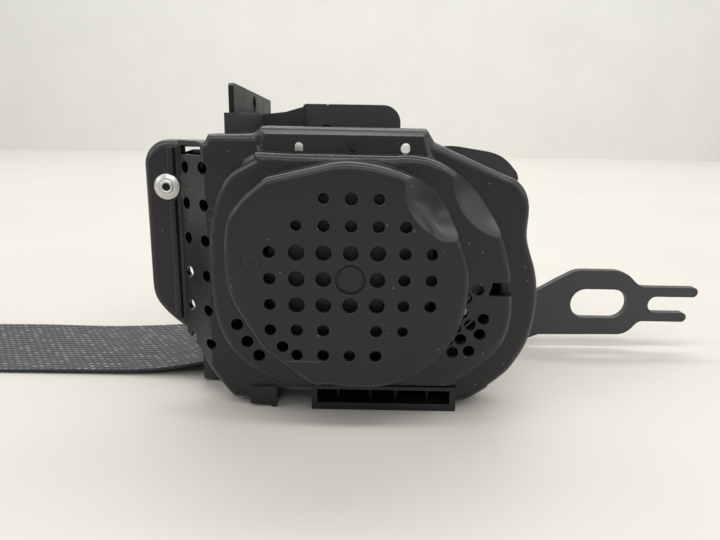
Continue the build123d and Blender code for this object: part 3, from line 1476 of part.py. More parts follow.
export_step(contact_pins.part, "parts/contact_pins.step")
webbing_guide.part.label = "webbing_guide"
export_step(webbing_guide.part, "parts/webbing_guide.step")
webbing_run.part.label = "webbing_run"
export_step(webbing_run.part, "parts/webbing_run.step")
tongue_plate.part.label = "tongue_plate"
export_step(tongue_plate.part, "parts/tongue_plate.step")
tongue_grip.part.label = "tongue_grip"
export_step(tongue_grip.part, "parts/tongue_grip.step")
anchor_plate.part.label = "anchor_plate"
export_step(anchor_plate.part, "parts/anchor_plate.step")
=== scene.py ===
"""Seat belt retractor on a pale table, with its belt laid out to the left and folded in a stack.

The steel frame, covers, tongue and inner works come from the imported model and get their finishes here.
The belt is made here as woven strips: the run over the table with its folds, and the turns on the spool.
The front cover is drawn to its real outline here, and the rivet gets its crater.
"""

from __future__ import annotations

import logging
import math
from collections.abc import Callable
from dataclasses import dataclass, field
from enum import Enum

import bmesh
import bpy
from mathutils import Euler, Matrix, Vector

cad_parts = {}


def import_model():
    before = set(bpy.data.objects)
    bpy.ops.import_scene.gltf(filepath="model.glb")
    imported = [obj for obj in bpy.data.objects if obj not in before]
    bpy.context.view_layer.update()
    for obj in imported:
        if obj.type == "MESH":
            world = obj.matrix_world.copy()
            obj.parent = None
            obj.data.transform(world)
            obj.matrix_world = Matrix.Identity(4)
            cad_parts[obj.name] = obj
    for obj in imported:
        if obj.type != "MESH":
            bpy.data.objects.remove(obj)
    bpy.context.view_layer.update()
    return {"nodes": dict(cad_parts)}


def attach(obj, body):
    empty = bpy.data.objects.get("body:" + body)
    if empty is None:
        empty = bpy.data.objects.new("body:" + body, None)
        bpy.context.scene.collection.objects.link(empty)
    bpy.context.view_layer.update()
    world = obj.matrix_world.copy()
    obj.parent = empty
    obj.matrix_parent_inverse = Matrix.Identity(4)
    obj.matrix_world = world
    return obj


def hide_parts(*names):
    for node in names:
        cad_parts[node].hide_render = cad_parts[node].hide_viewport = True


LOG = logging.getLogger("seat_belt")

MM = 0.001
SPOOL_AXIS = Vector((-95.4, -59.0, 26.45)) * MM
TABLE_Z = -18.15 * MM
BELT_MAP = "BeltMap"
MICROMETRES = 1e6

Colour = tuple[float, float, float]
Place = tuple[float, float, float]
Point = tuple[float, float]
Lift = Callable[[float, float], float]
Feeds = dict[str | int, object]
Outline = tuple[tuple[float, float, float, float], ...]
Socket = bpy.types.NodeSocket
Tree = bpy.types.NodeTree
Material = bpy.types.Material
Piece = bpy.types.Object


class Body(str, Enum):
    """Moving groups of the retractor that pieces ride on."""

    RETRACTOR = "retractor"
    SPOOL = "spool_body"


class Slot(str, Enum):
    """Names of three material slots of the record: belt fabric, satin black plastic and zinc steel."""

    BELT = "belt_fabric"
    COVER = "satin_black_plastic"
    RIVET = "zinc_steel"


def on_axis(x: float, depth: float, z: float) -> Vector:
    """Turn a place measured from the spool's axis and the cover's bar into the row frame.

    Args:
        x: Millimetres right of the spool's axis.
        depth: Millimetres behind the cover's foremost bar.
        z: Millimetres above the spool's axis.

    Returns:
        The place in metres.
    """
    return SPOOL_AXIS + Vector((x, depth, z)) * MM


def share_of(value: float, low: float, high: float) -> float:
    """Give how far a value has come from low to high, held between 0 and 1."""
    return min(1.0, max(0.0, (value - low) / (high - low)))


def mesh_from(form: bmesh.types.BMesh, name: str) -> bpy.types.Mesh:
    """Turn a finished form into a mesh with its faces outwards.

    Args:
        form: The form, which is used up.
        name: Name of the mesh.

    Returns:
        The mesh.
    """
    bmesh.ops.recalc_face_normals(form, faces=form.faces)
    mesh = bpy.data.meshes.new(name)
    form.to_mesh(mesh)
    form.free()
    return mesh


def new_piece(name: str, data: bpy.types.ID, material: Material | None = None) -> Piece:
    """Put a mesh, curve, lamp or camera into the scene.

    Args:
        name: Name of the object.
        data: The mesh, curve, lamp or camera.
        material: Its material, if it wears one.

    Returns:
        The object.
    """
    piece = bpy.data.objects.new(name, data)
    bpy.context.scene.collection.objects.link(piece)
    if material:
        data.materials.append(material)
    LOG.info("%s placed", name)
    return piece


# Nodes, and the shader groups that the finishes share


class Wiring:
    """The nodes of a shader tree, with helpers that add and feed them."""

    def __init__(self, tree: Tree) -> None:
        """Take up a tree."""
        self.tree = tree

    def feed(self, node: bpy.types.Node, feeds: Feeds) -> None:
        """Link sockets to a node's inputs, or set them.

        Args:
            node: The node.
            feeds: Sockets and values, by the input's name or number.
        """
        for name, value in feeds.items():
            if isinstance(value, Socket):
                self.tree.links.new(value, node.inputs[name])
            else:
                node.inputs[name].default_value = value

    def add(self, kind: str, feeds: Feeds, **settings: object) -> bpy.types.Node:
        """Add a node.

        Args:
            kind: Blender's name of the node type.
            feeds: Sockets and values of its inputs.
            **settings: Its properties.

        Returns:
            The new node.
        """
        node = self.tree.nodes.new(kind)
        for name, value in settings.items():
            setattr(node, name, value)
        self.feed(node, feeds)
        return node

    def math(self, operation: str, *operands: object) -> Socket:
        """Calculate with sockets or numbers.

        Args:
            operation: The math node's operation.
            *operands: Its operands.

        Returns:
            The result socket.
        """
        return self.add("ShaderNodeMath", dict(enumerate(operands)), operation=operation).outputs[0]

    def noise(self, place: Socket, size: object, detail: float, roughness: float = 0.5) -> Socket:
        """Add a noise texture.

        Args:
            place: Coordinates of the noise.
            size: Its scale, a socket or a number.
            detail: Number of finer layers.
            roughness: Weight of the finer layers.

        Returns:
            The noise value's socket.
        """
        feeds = {"Vector": place, "Scale": size, "Detail": detail, "Roughness": roughness}
        return self.add("ShaderNodeTexNoise", feeds).outputs["Fac"]


class NodeGroup(Wiring):
    """A shader node group under construction."""

    def __init__(self, name: str, inputs: dict[str, float | None], outputs: list[str]) -> None:
        """Make a group with its sockets.

        Args:
            name: Name of the group.
            inputs: Its inputs with their defaults; a vector has none.
            outputs: Its outputs; one called Normal is a vector.
        """
        super().__init__(bpy.data.node_groups.new(name, "ShaderNodeTree"))
        for title, default in inputs.items():
            if default is None:
                self.socket(title, "INPUT", "NodeSocketVector")
            else:
                self.socket(title, "INPUT", "NodeSocketFloat").default_value = default
        for title in outputs:
            self.socket(title, "OUTPUT", "NodeSocketVector" if title == "Normal" else "NodeSocketFloat")
        self.entry = self.add("NodeGroupInput", {}).outputs

    def socket(self, name: str, way: str, kind: str) -> bpy.types.NodeTreeInterfaceSocket:
        """Add an input or output of a kind to the group."""
        return self.tree.interface.new_socket(name, in_out=way, socket_type=kind)

    def close(self, results: Feeds) -> Tree:
        """Hand the results out of the group.

        Args:
            results: Sockets by the names of the group's outputs.

        Returns:
            The group's tree.
        """
        self.add("NodeGroupOutput", results)
        return self.tree


def grain_group() -> Tree:
    """Build the moulded or cast grain: a fine height, a slow variation and scattered dust.

    Returns:
        The group's tree.
    """
    inputs = {"Place": None, "Grain size": 1800.0, "Blotch size": 60.0, "Dust size": 420.0, "Dust": 0.2}
    group = NodeGroup("surface_grain", inputs, ["Height", "Blotch", "Dust mask"])
    entry = group.entry
    fine = group.noise(entry["Place"], entry["Grain size"], 3.0)
    blotch = group.noise(entry["Place"], entry["Blotch size"], 5.0, 0.65)

    speck_reach, speck_share, clumping = 0.16, 0.22, 2.0
    feeds = {"Vector": entry["Place"], "Scale": entry["Dust size"]}
    specks = group.add("ShaderNodeTexVoronoi", feeds, feature="F1").outputs
    chance = group.add("ShaderNodeSeparateColor", {"Color": specks["Color"]}).outputs["Red"]
    near = group.math("LESS_THAN", specks["Distance"], speck_reach)
    amount = group.math("MULTIPLY", entry["Dust"], speck_share)
    clumps = group.math("MULTIPLY", amount, group.math("MULTIPLY", blotch, clumping))
    dust = group.math("MULTIPLY", near, group.math("LESS_THAN", chance, clumps))
    return group.close({"Height": fine, "Blotch": blotch, "Dust mask": dust})


def edge_group() -> Tree:
    """Build the rounded edge: a normal that eases over sharp edges, and a mask of those edges.

    Returns:
        The group's tree.
    """
    group = NodeGroup("rounded_edge", {"Radius": 0.0003}, ["Normal", "Edge mask"])
    least_turn, full_turn = 0.02, 0.25
    eased = group.add("ShaderNodeBevel", {"Radius": group.entry["Radius"]}, samples=6).outputs["Normal"]
    flat = group.add("ShaderNodeNewGeometry", {}).outputs["Normal"]
    dot = group.add("ShaderNodeVectorMath", {0: eased, 1: flat}, operation="DOT_PRODUCT").outputs["Value"]
    turn = {"Value": group.math("SUBTRACT", 1.0, dot), "From Min": least_turn, "From Max": full_turn}
    mask = group.add("ShaderNodeMapRange", turn).outputs["Result"]
    return group.close({"Normal": eased, "Edge mask": mask})


def scratch_group() -> Tree:
    """Build fine handling scratches: stretched noise in two crossing directions.

    Returns:
        The group's tree.
    """
    group = NodeGroup("handling_scratches", {"Place": None, "Size": 160.0, "Threshold": 0.7}, ["Mask"])
    stretch = (0.12, 1.0, 3.2)
    found = []
    for direction in ((0.3, 0.5, 0.2), (0.3, -0.9, 0.2)):
        feeds = {"Vector": group.entry["Place"], "Rotation": direction, "Scale": stretch}
        place = group.add("ShaderNodeMapping", feeds).outputs["Vector"]
        lines = group.noise(place, group.entry["Size"], 1.0)
        found.append(group.math("GREATER_THAN", lines, group.entry["Threshold"]))
    return group.close({"Mask": group.math("MAXIMUM", *found)})


def weave_group() -> Tree:
    """Build the belt's weave from the belt map: lengthwise rows of short raised floats, each row shifted, and
    a painted glint on the tops of some floats.

    Returns:
        The group's tree.
    """
    inputs = {"Belt place": None, "Rows per metre": 476.0, "Float length": 0.0025, "Row shift": 0.43}
    group = NodeGroup("belt_weave", inputs, ["Height", "Float tone", "Painted glint"])
    entry = group.entry
    place = group.add("ShaderNodeSeparateXYZ", {"Vector": entry["Belt place"]}).outputs

    lean, roundness = 0.12, 0.7
    row = group.math("MULTIPLY", place["X"], entry["Rows per metre"])
    yarn = group.math("FRACT", row)
    dome = group.math("SINE", group.math("MULTIPLY", yarn, math.pi))
    step = group.math("FLOOR", row)
    stagger = group.math("MULTIPLY", step, entry["Row shift"])
    shift = group.math("ADD", stagger, group.math("MULTIPLY", yarn, lean))
    run = group.math("ADD", group.math("DIVIDE", place["Y"], entry["Float length"]), shift)
    lift = group.math("SINE", group.math("MULTIPLY", group.math("FRACT", run), math.pi))
    height = group.math("MULTIPLY", dome, group.math("POWER", lift, roundness))

    # Painted glint: floats picked at random get a light spot where their tops are highest
    glint_chance, glint_crown = 0.8, 0.8
    number = group.add("ShaderNodeCombineXYZ", {"X": step, "Y": group.math("FLOOR", run)}).outputs["Vector"]
    chance = group.add("ShaderNodeTexWhiteNoise", {"Vector": number}, noise_dimensions="3D").outputs["Value"]
    painted_glint = group.math("GREATER_THAN", chance, glint_chance)
    crown = group.math("GREATER_THAN", height, glint_crown)
    lit = group.math("MULTIPLY", painted_glint, crown)
    return group.close({"Height": height, "Float tone": chance, "Painted glint": lit})


@dataclass
class ShaderGroups:
    """The shared shader groups, built once."""

    grain: Tree = field(default_factory=grain_group)
    edge: Tree = field(default_factory=edge_group)
    scratches: Tree = field(default_factory=scratch_group)
    weave: Tree = field(default_factory=weave_group)


class MaterialDraft(Wiring):
    """A material under construction, with its Principled shader and helpers."""

    noise_low: float = 0.3
    noise_high: float = 0.7
    first_colour: int = 6
    second_colour: int = 7
    mixed_colour: int = 2

    def __init__(self, name: str) -> None:
        """Make a node material with a Principled shader.

        Args:
            name: Name of the material.
        """
        self.material = bpy.data.materials.new(name)
        self.material.use_nodes = True
        super().__init__(self.material.node_tree)

    def finish(self, feeds: Feeds) -> Material:
        """Feed the Principled shader.

        Args:
            feeds: Sockets and values of its inputs.

        Returns:
            The material.
        """
        self.feed(self.tree.nodes["Principled BSDF"], feeds)
        return self.material

    def group(self, tree: Tree, feeds: Feeds) -> bpy.types.NodeOutputs:
        """Place a shared group with its own values and give its outputs."""
        return self.add("ShaderNodeGroup", feeds, node_tree=tree).outputs

    def place(self) -> Socket:
        """Give the object coordinates, which are the row frame's metres."""
        return self.add("ShaderNodeTexCoord", {}).outputs["Object"]

    def mix(self, factor: Socket, first: object, second: object) -> Socket:
        """Mix two colours by a factor.

        Args:
            factor: Socket that drives the mix.
            first: Colour or socket at factor 0.
            second: Colour or socket at factor 1.

        Returns:
            The mixed colour's socket.
        """
        first, second = ((*end, 1.0) if isinstance(end, tuple) else end for end in (first, second))
        feeds = {"Factor": factor, self.first_colour: first, self.second_colour: second}
        return self.add("ShaderNodeMix", feeds, data_type="RGBA").outputs[self.mixed_colour]

    def span(self, source: Socket, low: float = 0.0, high: float = 1.0) -> Socket:
        """Spread the middle of a noise value over a range.

        Args:
            source: Socket with the noise value.
            low: Result where the noise is low.
            high: Result where the noise is high.

        Returns:
            The result socket.
        """
        spread = {"From Min": self.noise_low, "From Max": self.noise_high, "To Min": low, "To Max": high}
        return self.add("ShaderNodeMapRange", {"Value": source, **spread}).outputs["Result"]

    def bump(self, height: Socket, strength: float, distance: float, base: Feeds | None = None) -> Socket:
        """Turn a height into a normal.

        Args:
            height: Height socket.
            strength: Strength of the bump.
            distance: Height of the bump in metres.
            base: The normal that the bump starts from, if any.

        Returns:
            The normal's socket.
        """
        feeds = {"Height": height, "Strength": strength, "Distance": distance, **(base or {})}
        return self.add("ShaderNodeBump", feeds).outputs["Normal"]


@dataclass(frozen=True)
class Finish:
    """A hard surface's finish: moulded plastic, plating, coating, casting or rubber."""

    name: str
    colour: Colour
    worn: Colour
    roughness: float
    metallic: float = 0.0
    grain_size: float = 1800.0
    grain_depth: float = 0.00002
    grain_strength: float = 0.3
    blotch: float = 0.12
    sheen_spread: Point = (-0.05, 0.07)
    edge_radius: float = 0.0003
    edge_wear: float = 0.35
    dust_size: float = 420.0
    dust: float = 0.15
    dust_colour: Colour = (0.34, 0.33, 0.31)
    scratches: float = 0.78
    scratch_wear: float = 0.35
    specular: float = 0.5
    coat: float = 0.0
    coat_roughness: float = 0.12

    def make(self, groups: ShaderGroups) -> Material:
        """Build the material.

        Args:
            groups: The shared shader groups.

        Returns:
            The material.
        """
        draft = MaterialDraft(self.name)
        place = draft.place()
        sizes = {"Grain size": self.grain_size, "Dust size": self.dust_size, "Dust": self.dust}
        grain = draft.group(groups.grain, {"Place": place, **sizes})
        edge = draft.group(groups.edge, {"Radius": self.edge_radius})
        scratch = draft.group(groups.scratches, {"Place": place, "Threshold": self.scratches})

        darker = tuple(c * (1.0 - self.blotch) for c in self.colour)
        lighter = tuple(min(1.0, c * (1.0 + self.blotch)) for c in self.colour)
        base = draft.mix(draft.span(grain["Blotch"]), darker, lighter)
        edged = draft.mix(draft.math("MULTIPLY", edge["Edge mask"], self.edge_wear), base, self.worn)
        marked = draft.mix(draft.math("MULTIPLY", scratch["Mask"], self.scratch_wear), edged, self.worn)
        smoother, rougher = (self.roughness + spread for spread in self.sheen_spread)
        feeds = {
            "Base Color": draft.mix(grain["Dust mask"], marked, self.dust_colour),
            "Roughness": draft.span(grain["Blotch"], smoother, rougher),
            "Metallic": self.metallic,
            "Specular IOR Level": self.specular,
            "Coat Weight": self.coat,
            "Coat Roughness": self.coat_roughness,
            "Normal": draft.bump(
                grain["Height"], self.grain_strength, self.grain_depth, {"Normal": edge["Normal"]}
            ),
        }
        return draft.finish(feeds)


@dataclass(frozen=True)
class BeltFinish:
    """The belt's woven fabric, laid by the belt map's metres, with painted shade in the grooves between the
    floats and a painted glint on some float tops.
    """

    name: str = "belt_twill"
    # shade: painted shade, the near-black colour that fills the grooves between the floats
    shade: Colour = (0.016, 0.016, 0.018)
    crown: Colour = (0.155, 0.158, 0.168)
    dull: Colour = (0.082, 0.083, 0.090)
    # Colour of the painted glint on the tops of some floats
    painted_glint: Colour = (0.27, 0.27, 0.275)
    dust_colour: Colour = (0.3, 0.29, 0.27)
    dust: float = 0.12
    row_width: float = 0.0021
    float_length: float = 0.0025
    row_shift: float = 0.43
    yarn_height: float = 0.00030
    yarn_strength: float = 0.8
    grain_size: float = 2600.0
    blotch_size: float = 70.0
    blotch_share: float = 0.35
    roughness: float = 0.62
    specular: float = 0.35
    sheen: float = 0.15
    sheen_roughness: float = 0.4

    def make(self, groups: ShaderGroups) -> Material:
        """Build the woven material.

        Args:
            groups: The shared shader groups.

        Returns:
            The material.
        """
        draft = MaterialDraft(self.name)
        rows = {
            "Belt place": draft.add("ShaderNodeUVMap", {}, uv_map=BELT_MAP).outputs["UV"],
            "Rows per metre": 1.0 / self.row_width,
            "Float length": self.float_length,
            "Row shift": self.row_shift,
        }
        weave = draft.group(groups.weave, rows)
        sizes = {"Grain size": self.grain_size, "Dust": self.dust, "Blotch size": self.blotch_size}
        grain = draft.group(groups.grain, {"Place": draft.place(), **sizes})

        crown = draft.mix(draft.span(weave["Float tone"]), self.dull, self.crown)
        toned = draft.mix(draft.span(grain["Blotch"], high=self.blotch_share), crown, self.dull)
        # Painted shade: low parts of the weave take the shade colour, so the grooves between the floats are
        # dark
        base = draft.mix(draft.span(weave["Height"]), self.shade, toned)
        # Painted glint on the tops of the picked floats
        glinted = draft.mix(weave["Painted glint"], base, self.painted_glint)
        feeds = {
            "Base Color": draft.mix(grain["Dust mask"], glinted, self.dust_colour),
            "Roughness": self.roughness,
            "Specular IOR Level": self.specular,
            "Sheen Weight": self.sheen,
            "Sheen Roughness": self.sheen_roughness,
            "Normal": draft.bump(weave["Height"], self.yarn_strength, self.yarn_height),
        }
        return draft.finish(feeds)


COVER_BLACK = Finish(
    "cover_black",
    (0.009, 0.009, 0.0105),
    (0.10, 0.10, 0.105),
    0.29,
    dust_size=1000.0,
    dust=0.09,
    specular=0.42,
)
GRAINED_BLACK = Finish(
    "grained_black",
    (0.026, 0.026, 0.028),
    (0.12, 0.12, 0.12),
    0.56,
    grain_size=1500.0,
    grain_depth=0.00006,
    grain_strength=0.8,
    dust=0.3,
)
GLOSSY_COAT = Finish(
    "glossy_coat", (0.012, 0.012, 0.014), (0.2, 0.2, 0.2), 0.2, edge_wear=0.3, grain_strength=0.12, coat=0.4
)
LUG_COAT = Finish(
    "lug_coat", (0.012, 0.012, 0.014), (0.12, 0.12, 0.12), 0.42, specular=0.15, grain_strength=0.12
)
SATIN_COAT = Finish(
    "satin_coat", (0.034, 0.036, 0.040), (0.30, 0.30, 0.30), 0.42, edge_wear=0.5, grain_strength=0.35
)
ZINC = Finish(
    "zinc_plate",
    (0.60, 0.60, 0.585),
    (0.82, 0.82, 0.80),
    0.33,
    metallic=1.0,
    grain_size=900.0,
    grain_strength=0.35,
    blotch=0.25,
)
STEEL_STRIP = Finish("blued_strip", (0.16, 0.17, 0.21), (0.5, 0.5, 0.5), 0.3, metallic=1.0)
TUBE_STEEL = Finish("drawn_tube", (0.50, 0.50, 0.49), (0.7, 0.7, 0.7), 0.28, metallic=1.0)
TURNED_STEEL = Finish("turned_steel", (0.36, 0.36, 0.37), (0.6, 0.6, 0.6), 0.3, metallic=1.0)
BRIGHT_STEEL = Finish(
    "bright_steel",
    (0.70, 0.70, 0.70),
    (0.85, 0.85, 0.85),
    0.16,
    metallic=1.0,
    grain_strength=0.08,
    blotch=0.05,
)
TUMBLED = Finish("tumbled_aluminium", (0.68, 0.68, 0.69), (0.85, 0.85, 0.85), 0.36, metallic=1.0)
CAST_LIGHT = Finish(
    "cast_aluminium", (0.52, 0.53, 0.54), (0.75, 0.75, 0.75), 0.46, metallic=1.0, grain_depth=0.00005
)
CAST_ZINC = Finish(
    "cast_zinc", (0.36, 0.37, 0.38), (0.6, 0.6, 0.6), 0.5, metallic=0.9, grain_depth=0.00005
)
IVORY = Finish("ivory_plastic", (0.72, 0.70, 0.63), (0.8, 0.78, 0.72), 0.45, dust_colour=(0.4, 0.38, 0.33))
DARK_PLASTIC = Finish("dark_plastic", (0.016, 0.016, 0.017), (0.06, 0.06, 0.06), 0.5, dust=0.1)
GREY = Finish("grey_plastic", (0.28, 0.29, 0.31), (0.42, 0.42, 0.44), 0.45)
RUBBER = Finish("seal_rubber", (0.022, 0.022, 0.022), (0.06, 0.06, 0.06), 0.7, specular=0.3)
SHEATH = Finish("lead_sheath", (0.60, 0.44, 0.03), (0.7, 0.55, 0.1), 0.4)
BRASS = Finish("contact_brass", (0.80, 0.58, 0.24), (0.9, 0.7, 0.35), 0.22, metallic=1.0)
THREAD = Finish("belt_thread", (0.05, 0.05, 0.055), (0.12, 0.12, 0.12), 0.6)

NODE_FINISHES: dict[str, Finish] = {
    "front_cover": COVER_BLACK,
    "blind_rivet": ZINC,
    "frame": GLOSSY_COAT,
    "lug_plate": LUG_COAT,
    "tie_rods": ZINC,
    "mounting_bracket": SATIN_COAT,
    "bracket_rivets": ZINC,
    # The spring cup and lid wear dark plastic; partly their own colour, partly a painted shade that keeps the
    # cover's vent holes dark in place of the shade inside the cover.
    "spring_cup": DARK_PLASTIC,
    "spring_lid": DARK_PLASTIC,
    "return_spring": STEEL_STRIP,
    "spring_arbor": IVORY,
    "ball_tube": TUBE_STEEL,
    "drive_balls": TUMBLED,
    "tube_seal": RUBBER,
    "gas_canister": TUBE_STEEL,
    "canister_plug": GREY,
    "igniter_lead": SHEATH,
    "track_housing": CAST_ZINC,
    "drive_wheel": TUMBLED,
    "front_bush": IVORY,
    "spool": CAST_LIGHT,
    "torsion_bar": TURNED_STEEL,
    "lock_base": CAST_ZINC,
    "lock_pawl": TURNED_STEEL,
    "control_disc": IVORY,
    "inertia_disc": CAST_ZINC,
    "sensor_housing": IVORY,
    "sensor_ball": BRIGHT_STEEL,
    "sensor_lever": GREY,
    "rear_bush": IVORY,
    "rear_cover": GRAINED_BLACK,
    "cover_screws": ZINC,
    "connector_carrier": GRAINED_BLACK,
    "contact_pins": BRASS,
    "webbing_guide": GRAINED_BLACK,
    "tongue_plate": BRIGHT_STEEL,
    "tongue_grip": COVER_BLACK,
    "anchor_plate": ZINC,
}


# The cover


# Step's outline from left to right: place right of and above the spool's axis, and its move, in millimetres
STEP_LINE: Outline = (
    (-40.0, 2.0, 0.0, 0.0),
    (-39.2, 12.6, 0.0, 0.0),
    (-37.2, 21.0, 0.2, -0.3),
    (-32.8, 28.4, 0.6, -0.9),
    (-26.6, 32.4, 0.3, -1.4),
    (-18.5, 34.0, 0.0, -1.9),
    (-5.0, 34.0, 0.0, -2.1),
    (11.5, 34.0, 0.0, -1.9),
    (20.5, 32.1, 0.0, -1.1),
    (28.8, 28.3, 0.0, -0.9),
    (40.5, 13.6, 0.0, 0.0),
    (45.8, -5.0, 0.0, 0.0),
)
# Dome's outline in the same way
DOME_LINE: Outline = (
    (-33.9, 2.4, 0.4, 0.0),
    (-30.6, 15.6, -1.7, 0.7),
    (-27.0, 21.6, -0.9, 0.4),
    (-21.2, 27.2, -0.9, -0.7),
    (-14.0, 29.4, -0.4, -0.9),
    (-6.5, 31.7, 0.0, -1.5),
    (5.0, 32.4, 0.0, -2.1),
    (11.5, 31.1, 0.0, -2.3),
    (17.2, 28.5, 0.0, -2.1),
    (23.9, 22.5, -0.9, -1.2),
    (29.4, 14.2, -2.0, -0.3),
    (31.9, -3.0, 0.0, 0.0),
)


@dataclass
class CoverSkin:
    """The vented cover, with the tops of its step and dome drawn down to the real outline.

    Lengths are in millimetres, measured from the spool's axis and the cover's foremost bar.
    """

    holes: tuple[Point, ...] = ((-15.0, 33.5), (-0.1, 33.6), (14.5, 33.7))
    hole_radius: float = 1.42
    lip_foot: float = 31.7
    lip_front: float = 0.83
    lip_thickness: float = 1.4
    lip_steps: int = 20
    tier_depth: float = 0.5
    fade_from: float = -4.0
    fade_to: float = 8.0
    near: float = 4.0
    far: float = 8.0
    dome_above: float = -6.0
    step_below: float = -4.5
    foot_reach: float = 1.2
    sharp_bend: float = math.radians(32.0)
    shading_weight: int = 90

    def nearest(self, line: Outline, x: float, z: float) -> Place:
        """Find the move of an outline's nearest place.

        Args:
            line: The outline's places with their moves.
            x: Millimetres right of the spool's axis.
            z: Millimetres above the spool's axis.

        Returns:
            The gap to the outline and the shift to the right and up, in millimetres.
        """
        found = (math.inf, 0.0, 0.0)
        for (x_0, z_0, right_0, up_0), (x_1, z_1, right_1, up_1) in zip(line, line[1:]):
            run_x, run_z = x_1 - x_0, z_1 - z_0
            along = share_of((x - x_0) * run_x + (z - z_0) * run_z, 0.0, run_x**2 + run_z**2)
            gap = math.hypot(x - x_0 - along * run_x, z - z_0 - along * run_z)
            right = right_0 + along * (right_1 - right_0)
            up = up_0 + along * (up_1 - up_0)
            found = min(found, (gap, right, up))
        return found

    def inside(self, gap: float) -> float:
        """Fade a shift out with the gap to its outline in millimetres."""
        return 1.0 - share_of(gap, self.near, self.far)

    def shift(self, place: Vector) -> Point:
        """Blend the moves of the outlines that a corner belongs to.

        Args:
            place: The corner in millimetres from the spool's axis.

        Returns:
            The shift to the right and up in millimetres.
        """
        dome_gap, dome_right, dome_up = self.nearest(DOME_LINE, place.x, place.z)
        step_gap, step_right, step_up = self.nearest(STEP_LINE, place.x, place.z)
        part = math.exp(-((dome_gap / self.foot_reach) ** 2))
        if place.y < self.dome_above:
            part = 1.0
        elif place.y > self.step_below:
            part = 0.0
        height = share_of(place.z, self.fade_from, self.fade_to)
        dome = height * part * self.inside(dome_gap)
        step = height * (1.0 - part) * self.inside(step_gap)
        return dome * dome_right + step * step_right, dome * dome_up + step * step_up

    def spot(self, place: Vector) -> tuple[int, int, int]:
        """Round a place to whole micrometres."""
        return tuple(round(value * MICROMETRES) for value in place)

    def tier_spots(self, mesh: bpy.types.Mesh) -> set[tuple[int, int, int]]:
        """Find the places of the tiers' corners, and of the corners where they meet the rim.

        Args:
            mesh: The cover's mesh.

        Returns:
            The places, rounded to whole micrometres.
        """
        spots = set()
        for polygon in mesh.polygons:
            corners = [mesh.vertices[i].co for i in polygon.vertices]
            if min((corner - SPOOL_AXIS).y / MM for corner in corners) < self.tier_depth:
                spots.update(self.spot(corner) for corner in corners)
        return spots

    def weld(self, mesh: bpy.types.Mesh) -> None:
        """Join corners that share a place and shade gentle bends smoothly.

        Args:
            mesh: The cover's mesh.
        """
        form = bmesh.new()
        form.from_mesh(mesh)
        bmesh.ops.remove_doubles(form, verts=form.verts, dist=1.0 / MICROMETRES)
        for face in form.faces:
            face.smooth = True
        for edge in form.edges:
            edge.smooth = edge.is_manifold and edge.calc_face_angle() < self.sharp_bend
        form.to_mesh(mesh)
        form.free()
        custom = mesh.attributes.get("custom_normal")
        if custom:
            mesh.attributes.remove(custom)

    def hole_lips(self, material: Material) -> None:
        """Close the lower half of the ledge's holes to a circle, where the step was drawn down.

        Args:
            material: The cover's material.
        """
        form = bmesh.new()
        turns = [math.pi * i / self.lip_steps for i in range(self.lip_steps + 1)]
        radius = self.hole_radius
        for x, z in self.holes:
            arc = [(x - radius * math.cos(turn), z - radius * math.sin(turn)) for turn in turns]
            edge = [(x - radius, self.lip_foot), *arc, (x + radius, self.lip_foot)]
            face = form.faces.new([form.verts.new(on_axis(px, self.lip_front, pz)) for px, pz in edge])
            back = bmesh.ops.extrude_face_region(form, geom=[face])["geom"]
            moved = [item for item in back if isinstance(item, bmesh.types.BMVert)]
            bmesh.ops.translate(form, verts=moved, vec=Vector((0.0, self.lip_thickness, 0.0)) * MM)
        bmesh.ops.triangulate(form, faces=form.faces)
        piece = new_piece("ledge_hole_lips", mesh_from(form, "ledge_hole_lips"), material)
        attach(piece, Body.RETRACTOR.value)

    def build(self, node: Piece, material: Material) -> None:
        """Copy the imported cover, draw its tiers down and close its holes.

        Args:
            node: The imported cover.
            material: The cover's material.
        """
        mesh = node.data.copy()
        spots = self.tier_spots(mesh)
        for vertex in mesh.vertices:
            if self.spot(vertex.co) not in spots:
                continue
            right, up = self.shift((vertex.co - SPOOL_AXIS) / MM)
            vertex.co.x += right * MM
            vertex.co.z += up * MM
        self.weld(mesh)
        mesh.materials.clear()
        piece = new_piece("cover_skin", mesh, material)
        smooth = piece.modifiers.new("even_shading", "WEIGHTED_NORMAL")
        smooth.keep_sharp = True
        smooth.weight = self.shading_weight
        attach(piece, Body.RETRACTOR.value)
        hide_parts("front_cover")
        self.hole_lips(material)


